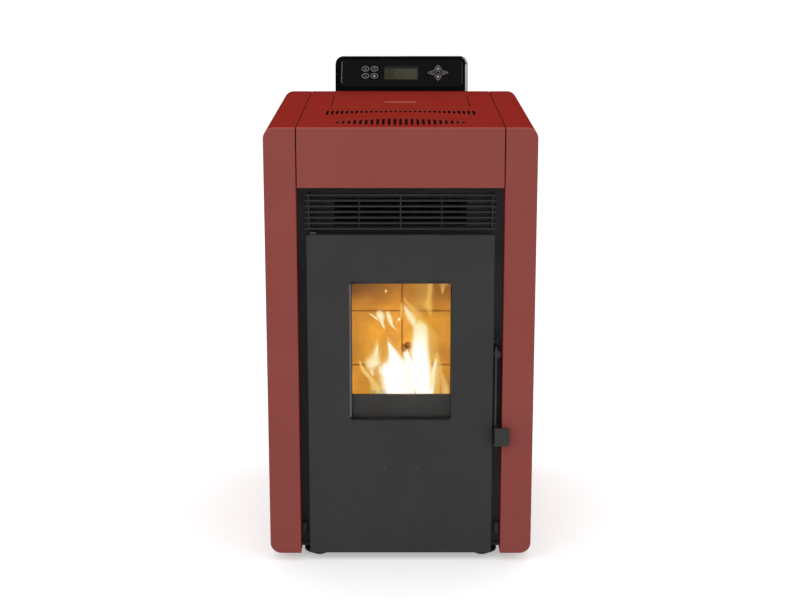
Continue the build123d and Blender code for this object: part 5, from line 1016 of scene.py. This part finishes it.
def melt_together(gas):
    """Fuses the crossing tongues of one group into a single smooth skin."""
    fused = gas.modifiers.new("fused", "REMESH")
    fused.mode = "VOXEL"
    fused.voxel_size = FLAME_VOXEL * MM
    eased = gas.modifiers.new("eased", "SMOOTH")
    eased.factor = 0.5
    eased.iterations = FLAME_EASING
    graph = bpy.context.evaluated_depsgraph_get()
    skin = bpy.data.meshes.new_from_object(gas.evaluated_get(graph))
    skin.shade_smooth()
    gas.modifiers.clear()
    gas.data = skin


def build_fire():
    """White-hot core, amber veil round it, loose wisps and a faint haze, all out of the pot."""
    melt_together(burning_gas("flame_core", CORE_TONGUES, FLAME_CORE, 1.28))
    melt_together(burning_gas("flame_veil", VEIL_TONGUES, FLAME_VEIL, 1.3, 0.8))
    burning_gas("flame_wisps", WISP_TONGUES, FLAME_WISP, 1.55)
    burning_gas("flame_haze", HAZE_TONGUES, FLAME_HAZE, 1.2, 0.7)


# ------------------------------------------------------------------ pellets and ash

PELLET_RADIUS = 3.0
PELLET_SIDES = 8
# place along a pellet and share of its radius there: a broken end, the body, a broken end
PELLET_ENDS = ((-0.5, 0.72), (-0.44, 1.0), (0.44, 1.0), (0.5, 0.72))
HOPPER_HEAP = (-137, 137), (293, 541), 640
HOPPER_STEPS = (40, 36)
HOPPER_SINK = 6
# first place, width of the field and pellets, across and in depth
FUEL_ACROSS = (-126, 252, 26)
FUEL_DEEP = (304, 226, 30)
POT_HEAP = (-44, 44), (122, 200), 228
POT_STEPS = (14, 12)
EMBER_COUNT = 130
ASH_HEAP = (-106, 106), (90, 245), 158.5
ASH_STEPS = (56, 42)


def pellet(work, centre, direction, length):
    """One pressed pellet with broken ends, in millimetres."""
    axis = Vector(direction).normalized()
    across = axis.orthogonal().normalized()
    other = axis.cross(across)
    rings = []
    for along, size in PELLET_ENDS:
        middle = Vector(centre) + axis * (length * along)
        rings.append([(middle + (across * c + other * s) * PELLET_RADIUS * size) * MM
                      for c, s in around(PELLET_SIDES)])
    skin_rings(work, rings)


def heap(work, x_span, depth_span, floor_z, height_at, steps):
    """Closed lump: a flat floor under a surface whose height is given by height_at."""
    columns, rows = steps
    top, bottom = [], []
    for i in range(columns + 1):
        x = x_span[0] + (x_span[1] - x_span[0]) * i / columns
        top.append([])
        bottom.append([])
        for j in range(rows + 1):
            depth = depth_span[0] + (depth_span[1] - depth_span[0]) * j / rows
            top[-1].append(work.verts.new(at(x, depth, height_at(x, depth))))
            bottom[-1].append(work.verts.new(at(x, depth, floor_z)))
    for i in range(columns):
        for j in range(rows):
            work.faces.new((top[i][j], top[i + 1][j], top[i + 1][j + 1], top[i][j + 1]))
            work.faces.new((bottom[i][j], bottom[i][j + 1], bottom[i + 1][j + 1],
                            bottom[i + 1][j]))
    edge = [(i, 0) for i in range(columns)] + [(columns, j) for j in range(rows)]
    edge += [(i, rows) for i in range(columns, 0, -1)] + [(0, j) for j in range(rows, 0, -1)]
    for (a, b), (c, d) in zip(edge, edge[1:] + edge[:1]):
        work.faces.new((bottom[a][b], bottom[c][d], top[c][d], top[a][b]))


def fuel_level(x, depth):
    """Height of the pellets in the hopper: heaped in the middle, uneven all over."""
    heaped = 12 * math.cos(x / 90) * math.cos((depth - 415) / 110)
    ripple = 2.5 * math.sin(x / 13 + depth / 17) + 2 * math.sin(depth / 9 - x / 23)
    return 690 + heaped + ripple


def ember_level(x, depth, middle, rise):
    """Height of the glowing bed in the pot, which rises to its middle."""
    return middle + rise * math.cos(x / 30) * math.cos((depth - POT_MIDDLE) / 34)


def ash_level(x, depth):
    """Height of the ash: a low cone below the pot, with small drifts."""
    cone = 164 + 9 * math.exp(-(x / 60) ** 2 - ((depth - 160) / 45) ** 2)
    return cone + 1.6 * math.sin(x / 8 + depth / 11) * math.cos(depth / 7 - x / 15)


def build_fuel():
    """Hopper full of pellets: a heap with a layer of loose ones on it."""
    draw = random.Random(7)
    work = bmesh.new()
    heap(work, *HOPPER_HEAP, lambda x, d: fuel_level(x, d) - HOPPER_SINK, HOPPER_STEPS)
    left, wide, columns = FUEL_ACROSS
    near, deep, rows = FUEL_DEEP
    for i in range(columns):
        for j in range(rows):
            x = left + wide * (i + draw.uniform(0.1, 0.9)) / columns
            depth = near + deep * (j + draw.uniform(0.1, 0.9)) / rows
            turn = draw.uniform(0, math.pi)
            rise = draw.uniform(-0.35, 0.35)
            centre = (x, FRONT_Y + depth, fuel_level(x, depth) + draw.uniform(-4, 2))
            pellet(work, centre, (math.cos(turn), math.sin(turn), rise), draw.uniform(11, 21))
    piece("hopper_pellets", work, PELLET, "cabinet")


def build_embers():
    """Bed of burning pellets in the pot."""
    draw = random.Random(11)
    work = bmesh.new()
    heap(work, *POT_HEAP, lambda x, d: ember_level(x, d, 243, 6), POT_STEPS)
    for _ in range(EMBER_COUNT):
        x = draw.uniform(-38, 38)
        depth = draw.uniform(128, 194)
        turn = draw.uniform(0, math.pi)
        level = ember_level(x, depth, 244, 8) + draw.uniform(-3, 3)
        pellet(work, (x, FRONT_Y + depth, level),
               (math.cos(turn), math.sin(turn), draw.uniform(-0.5, 0.5)), draw.uniform(7, 14))
    piece("pot_embers", work, EMBER, "pot")


def build_ash():
    """Ash that has fallen into the drawer."""
    work = bmesh.new()
    heap(work, *ASH_HEAP, ash_level, ASH_STEPS)
    piece("drawer_ash", work, ASH, "drawer")


# ------------------------------------------------------------------ door seals

# half width, lowest and highest level, corner radius and spacing of the points of each loop
ROPE_PATH = 134, (146, 599), 9, 2.2
GASKET_PATH = 100.6, (261.8, 538.4), 5, 6
ROPE_LAY = 14
ROPE_DEPTH = 35.8
# how far the strands swing, then half the width and depth of each
ROPE_SWING = (2.3, 0.72)
STRAND_HALF = (2.1, 1.02)
STRANDS = 3
STRAND_SIDES = 8
GASKET_WIDTH = 7.8
GASKET_DEPTHS = ((14.05, 15.95), (20.05, 21.95))


def rounded_loop(x_half, z_span, corner, spacing):
    """Evenly spaced points, with their outward directions, round an upright rectangle."""
    z_middle = sum(z_span) / 2
    far_x = x_half - corner
    far_z = (z_span[1] - z_span[0]) / 2 - corner
    arc = math.pi * corner / 2
    # straight length, start, heading and outward direction of each side
    sides = ((2 * far_z, (far_x + corner, -far_z), (0, 1), (1, 0)),
             (2 * far_x, (far_x, far_z + corner), (-1, 0), (0, 1)),
             (2 * far_z, (-far_x - corner, far_z), (0, -1), (-1, 0)),
             (2 * far_x, (-far_x, -far_z - corner), (1, 0), (0, -1)))
    total = 2 * (2 * far_x + 2 * far_z) + 4 * arc
    count = int(total / spacing)
    points = []
    for index in range(count):
        along = total * index / count
        for flat, start, heading, outward in sides:
            if along < flat + arc:
                break
            along -= flat + arc
        if along <= flat:
            x, z = (s + h * along for s, h in zip(start, heading))
        else:
            angle = (along - flat) / corner
            pivot = [s + h * flat - o * corner for s, h, o in zip(start, heading, outward)]
            outward = tuple(o * math.cos(angle) + h * math.sin(angle)
                            for o, h in zip(outward, heading))
            x, z = (p + o * corner for p, o in zip(pivot, outward))
        points.append((x, z_middle + z, outward))
    return points


def build_rope():
    """Knitted rope that seals the door: three flattened strands laid round each other."""
    work = bmesh.new()
    path = rounded_loop(*ROPE_PATH)
    turns = round(len(path) * ROPE_PATH[-1] / ROPE_LAY)
    for strand in range(STRANDS):
        rows = []
        for index, (x, z, outward) in enumerate(path):
            phase = 2 * math.pi * (turns * index / len(path) + strand / STRANDS)
            shift = ROPE_SWING[0] * math.cos(phase)
            depth = ROPE_DEPTH + ROPE_SWING[1] * math.sin(phase)
            rows.append(vertices(work, [
                at(x + outward[0] * (shift + STRAND_HALF[0] * c), depth + STRAND_HALF[1] * s,
                   z + outward[1] * (shift + STRAND_HALF[0] * c))
                for c, s in around(STRAND_SIDES)]))
        for row, after in zip(rows, rows[1:] + rows[:1]):
            join_rings(work, row, after)
    return piece("door_rope", work, ROPE, "door", 180)


def build_gaskets():
    """Flat woven tapes that hold the glass, one each side of it."""
    work = bmesh.new()
    path = rounded_loop(*GASKET_PATH)
    for near, far in GASKET_DEPTHS:
        outer = [at(x, far, z) for x, z, _ in path]
        inner = [at(x - outward[0] * GASKET_WIDTH, far, z - outward[1] * GASKET_WIDTH)
                 for x, z, outward in path]
        band(work, outer, inner, at(0, near, 0) - at(0, far, 0))
    piece("glass_gaskets", work, ROPE, "door")


# ------------------------------------------------------------------ console print and painted highlights

CONSOLE_UP = Vector((0, math.sin(CONSOLE_TILT), math.cos(CONSOLE_TILT)))
CONSOLE_OUT = Vector((0, -math.cos(CONSOLE_TILT), math.sin(CONSOLE_TILT)))
CONSOLE_ORIGIN = at(CONSOLE_MIDDLE_X, CONSOLE_DEPTH, TOP_Z)
INK_THICK = 0.12
INK_LIFT = CONSOLE_OUT * INK_THICK * MM
SHORTEST_STROKE = 0.01


def proud_of(node):
    """How far a node stands out of the console's face plane, in millimetres."""
    heights = [(v.co - CONSOLE_ORIGIN).dot(CONSOLE_OUT) for v in NODES[node].data.vertices]
    return max(heights) / MM


def on_face(x, y, proud):
    """Point on the console's tilted face, in metres."""
    return CONSOLE_ORIGIN + (Vector((x, 0, 0)) + CONSOLE_UP * y + CONSOLE_OUT * proud) * MM


def ellipse(x, y, half_x, half_y, proud, sides=40):
    """Outline of an ellipse on the console's face."""
    return [on_face(x + half_x * c, y + half_y * s, proud) for c, s in around(sides)]


def patch(work, points, proud):
    """Printed patch with an outline of points of the face."""
    raised_shape(work, [on_face(x, y, proud) for x, y in points], INK_LIFT)


def stroke(work, points, width, proud):
    """Printed line through points of the face, with square ends."""
    for (x0, y0), (x1, y1) in zip(points, points[1:]):
        run = math.hypot(x1 - x0, y1 - y0)
        if run < SHORTEST_STROKE:
            continue
        side_x = -(y1 - y0) / run * width / 2
        side_y = (x1 - x0) / run * width / 2
        patch(work, ((x0 + side_x, y0 + side_y), (x1 + side_x, y1 + side_y),
                     (x1 - side_x, y1 - side_y), (x0 - side_x, y0 - side_y)), proud)


def dial(x, y, radius, angles):
    """Points on a circle, at clockwise angles from straight up."""
    return [(x + radius * math.sin(math.radians(a)), y + radius * math.cos(math.radians(a)))
            for a in angles]


def mode_sign(work, x, y, proud):
    """Open ring with an upright stroke through its gap."""
    stroke(work, dial(x, y - 0.3, 2.1, range(40, 321, 20)), 0.6, proud)
    stroke(work, [(x, y - 0.2), (x, y + 2.4)], 0.6, proud)


def timer_sign(work, x, y, proud):
    """Clock face with two hands."""
    stroke(work, dial(x, y, 2.3, range(0, 361, 24)), 0.5, proud)
    stroke(work, [(x, y + 1.6), (x, y), (x + 1.3, y)], 0.5, proud)


def fan_sign(work, x, y, proud):
    """Three blades round a hub."""
    raised_shape(work, ellipse(x, y, 0.6, 0.6, proud, 16), INK_LIFT)
    for turn in (90, 210, 330):
        c, s = math.cos(math.radians(turn)), math.sin(math.radians(turn))
        blade = [(1.75 + 1.0 * along, 0.75 * across) for along, across in around(12)]
        patch(work, [(x + u * c - v * s, y + u * s + v * c) for u, v in blade], proud)


def flame_sign(work, x, y, proud):
    """Solid drop with a curled tip."""
    outline = ((0, -2.2), (1.3, -1.7), (1.9, -0.5), (1.5, 0.8), (0.7, 1.6), (0.5, 2.6),
               (-0.5, 1.6), (-1.5, 0.7), (-1.9, -0.5), (-1.3, -1.7))
    patch(work, [(x + u, y + v) for u, v in outline], proud)


OVAL_HALF = (7.5, 5.3)
OVAL_LINE = 1.2
# middle of each oval key, its sign and the sign's ink
OVAL_KEYS = {
    "key_mode": (-74.6, 46, mode_sign, INK),
    "key_timer": (-56, 46, timer_sign, INK),
    "key_fan": (-74.6, 31.5, fan_sign, INK),
    "key_flame": (-56, 31.5, flame_sign, WHITE_INK),
}


def build_oval_prints():
    """Grey ring and sign on each oval key."""
    for name, (x, y, sign, ink) in OVAL_KEYS.items():
        proud = proud_of(name)
        work = bmesh.new()
        band(work, ellipse(x, y, *OVAL_HALF, proud),
             ellipse(x, y, OVAL_HALF[0] - OVAL_LINE, OVAL_HALF[1] - OVAL_LINE, proud), INK_LIFT)
        piece(name + "_ring", work, INK, name)
        work = bmesh.new()
        sign(work, x, y, proud)
        piece(name + "_sign", work, ink, name)


NAV_MIDDLE = (75.3, 38)
NAV_LINE = 1.0
NAV_SQUARE = (3.9, 2.6, 0.7)
LEAF_STEPS = 10
# arrowhead corners, along the heading and across it
NAV_HEAD_RISE = ((11.4, 0), (7.3, 2.7), (7.3, -2.7))
NAV_HEAD_SIDE = ((15.4, 0), (11.6, 1.5), (11.6, -1.5))
# heading, where the print starts and ends, half width at the cross's middle
NAV_LEAVES = {
    "nav_up": ((0, 1), 5.7, 15.4, 7.7),
    "nav_down": ((0, -1), 5.7, 15.4, 7.7),
    "nav_left": ((-1, 0), 8.1, 20.9, 4.95),
    "nav_right": ((1, 0), 8.1, 20.9, 4.95),
}


def turned(heading, points):
    """Points given along and across a heading of the cross, as points of the face."""
    return [(NAV_MIDDLE[0] + heading[0] * a + heading[1] * b,
             NAV_MIDDLE[1] + heading[1] * a + heading[0] * b) for a, b in points]


def leaf_outline(start, end, half):
    """Closed outline of half a pointed leaf, along its heading and across it."""
    bow = (end ** 2 + half ** 2) / (2 * half)
    side = []
    for step in range(LEAF_STEPS + 1):
        along = start + (end - start) * step / LEAF_STEPS
        side.append((along, half - bow + math.sqrt(bow ** 2 - along ** 2)))
    points = [(a, -b) for a, b in side] + side[-2::-1]
    return points + points[:1]


def build_nav_prints():
    """Leaf outline and arrowhead on each key of the cross, and the square in its middle."""
    for name, (heading, start, end, half) in NAV_LEAVES.items():
        proud = proud_of(name)
        work = bmesh.new()
        stroke(work, turned(heading, leaf_outline(start, end, half)), NAV_LINE, proud)
        piece(name + "_outline", work, INK, name)
        work = bmesh.new()
        head, ink = (NAV_HEAD_RISE, WHITE_INK) if heading[0] == 0 else (NAV_HEAD_SIDE, INK)
        patch(work, turned(heading, head), proud)
        piece(name + "_arrow", work, ink, name)
    work = bmesh.new()
    x, y = NAV_MIDDLE
    half_x, half_y, width = NAV_SQUARE
    stroke(work, [(x - half_x, y - half_y), (x + half_x, y - half_y), (x + half_x, y + half_y),
                  (x - half_x, y + half_y), (x - half_x, y - half_y)], width, proud_of("nav_ok"))
    piece("nav_ok_outline", work, INK, "nav_ok")


# places of the painted highlights on the console's face
HOUSING_BEND = (120.5, 55.5)
STRIP_FOOT = 0.4
FASCIA_HIGHLIGHT_TOP = (-122.7, 61.5)
FASCIA_HIGHLIGHT_FOOT = (-124.0, 20.5)
FASCIA_HIGHLIGHT_CURL = 4.0
FASCIA_HIGHLIGHT_LINE = [(125.2, 58), (125.2, 15)]
LINE_WIDTH = 0.9


def housing_bend(radius, first, last, step):
    """Points that follow the round upper right corner of the housing."""
    return [(HOUSING_BEND[0] + radius * math.cos(math.radians(a)),
             HOUSING_BEND[1] + radius * math.sin(math.radians(a)))
            for a in range(first, last + 1, step)]


def upright(x):
    """Line up the housing's right side, as far as its bend."""
    return [(x, STRIP_FOOT), (x, HOUSING_BEND[1])]


def build_console_lines():
    """Painted highlights: a bright line down the fascia's left end, a grey line at its right end, a
    bright strip with a dark edge down the housing's right side.
    """
    fascia = proud_of("console_fascia")
    x, y = FASCIA_HIGHLIGHT_FOOT
    curl = [(x + FASCIA_HIGHLIGHT_CURL * (1 - math.cos(math.radians(a))),
             y - FASCIA_HIGHLIGHT_CURL * math.sin(math.radians(a))) for a in range(15, 61, 15)]
    # name, finish, how far it stands out, and the points and width of each of its strokes
    lines = (
        # painted highlight down the fascia's left end
        ("fascia_highlight_left", FASCIA_HIGHLIGHT, fascia, (([FASCIA_HIGHLIGHT_TOP, FASCIA_HIGHLIGHT_FOOT] + curl, LINE_WIDTH),)),
        # painted highlight at the fascia's right end
        ("fascia_highlight_right", FASCIA_EDGE_HIGHLIGHT_INK, fascia, ((FASCIA_HIGHLIGHT_LINE, LINE_WIDTH),)),
        # painted reflection: a bright strip and its dark edge down the housing's right side
        ("housing_highlight_strip", HOUSING_HIGHLIGHT, 0, ((upright(133.2), 3.3), (housing_bend(13.4, 5, 35, 10), 1.8),
                                    (housing_bend(14.0, 35, 70, 7), LINE_WIDTH))),
        ("housing_highlight_dark_edge", INK, 0,
         ((upright(135.6) + housing_bend(15.1, 6, 60, 6), LINE_WIDTH),)),
    )
    for name, finish, proud, strokes in lines:
        work = bmesh.new()
        for points, width in strokes:
            stroke(work, points, width, proud)
        piece(name, work, finish, "cabinet")


# ------------------------------------------------------------------ window edge: painted highlight and shade

WINDOW_LEVELS = (278, 525)
GLASS_FACE_DEPTH = 12.5
# name, finish, slot, left and right edge, and depth of the front
WINDOW_LINES = (
    # painted highlight of the window's left edge
    ("window_edge_highlight", WINDOW_HIGHLIGHT_STEEL, "zinc_steel", -91.7, -88.4, 3.9),
    # painted shade beside it
    ("window_edge_shade", RUBBER, "rope_seal", -88.4, -87.4, 8.0),
)


def build_window_edge_light():
    """Painted highlight down the left side of the window: a bright metal strip, with a black strip
    beside it as painted shade.
    """
    low, high = WINDOW_LEVELS
    back = GLASS_FACE_DEPTH
    for name, finish, slot, left, right, front in WINDOW_LINES:
        work = bmesh.new()
        rim = [at(left, back, low), at(right, back, low), at(right, back, high),
               at(left, back, high)]
        raised_shape(work, rim, at(0, front, 0) - at(0, back, 0))
        piece(name, work, finish, "door")


# ------------------------------------------------------------------ studio

def seen(tree):
    """Mask of the rays that come from the eye, straight, mirrored or through glass."""
    path = add(tree, "LightPath").outputs
    return larger(path["Is Camera Ray"],
                  larger(path["Is Glossy Ray"], path["Is Transmission Ray"]))


def build_floor():
    """Plain pale floor that runs out to the horizon."""
    far = FLOOR_HALF
    work = bmesh.new()
    work.faces.new(vertices(work, ((-far, -far, 0), (far, -far, 0), (far, far, 0), (-far, far, 0))))
    mesh = bpy.data.meshes.new("studio_floor")
    work.to_mesh(mesh)
    work.free()
    finish, tree = new_finish("studio_floor", 0.0)
    shine(finish, mix_colour(times(seen(tree), FLOOR_LIFT), BLACK, WHITE))
    tone = mix_colour(noise(place(tree), 3.0, 2.0), FLOOR_PALE, FLOOR_PALER)
    mesh.materials.append(complete(finish, tone, 1.0))
    add_object("studio_floor", mesh)


def build_world():
    """White room to the eye and to reflections, a plain soft light to everything else."""
    world = bpy.data.worlds.new("studio")
    bpy.context.scene.world = world
    world.use_nodes = True
    tree = world.node_tree
    background = tree.nodes["Background"].inputs
    feed(background["Color"], mix_colour(seen(tree), (ROOM_LIGHT,) * 3, WHITE))
    background["Strength"].default_value = 1.0


def build_lamps():
    """Four soft square lamps round the stove, and the fire's own light in front of the flames."""
    for name, spot, aim, size, power in LAMPS:
        data = bpy.data.lights.new(name, "AREA")
        data.size = size
        data.energy = power
        lamp = add_object(name, data)
        lamp.location = spot
        lamp.rotation_euler = (Vector(aim) - Vector(spot)).to_track_quat("-Z", "Y").to_euler()
    fire = bpy.data.lights.new("fire_lamp", "POINT")
    fire.energy = FIRE_LAMP_POWER
    fire.color = FIRE_LAMP_COLOUR
    fire.shadow_soft_size = FIRE_LAMP_SIZE
    glow = add_object("fire_lamp", fire)
    glow.location = at(*FIRE_LAMP_PLACE)
    glow.visible_camera = False
    glow.visible_transmission = False
    glow.visible_glossy = False


def build_camera():
    """Camera that stands where the photo was taken."""
    data = bpy.data.cameras.new("camera")
    data.lens = CAMERA_LENS
    data.sensor_width = CAMERA_SENSOR
    camera = add_object("camera", data)
    camera.location = CAMERA_PLACE
    camera.rotation_euler = (math.radians(CAMERA_PITCH), 0, 0)
    bpy.context.scene.camera = camera


bpy.context.scene.view_settings.view_transform = "Standard"
build_camera()
build_world()
build_lamps()
build_floor()
dress_nodes()
build_fire()
build_embers()
build_fuel()
build_ash()
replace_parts(build_rope(), "door_seals")
build_gaskets()
build_oval_prints()
build_nav_prints()
build_console_lines()
build_window_edge_light()
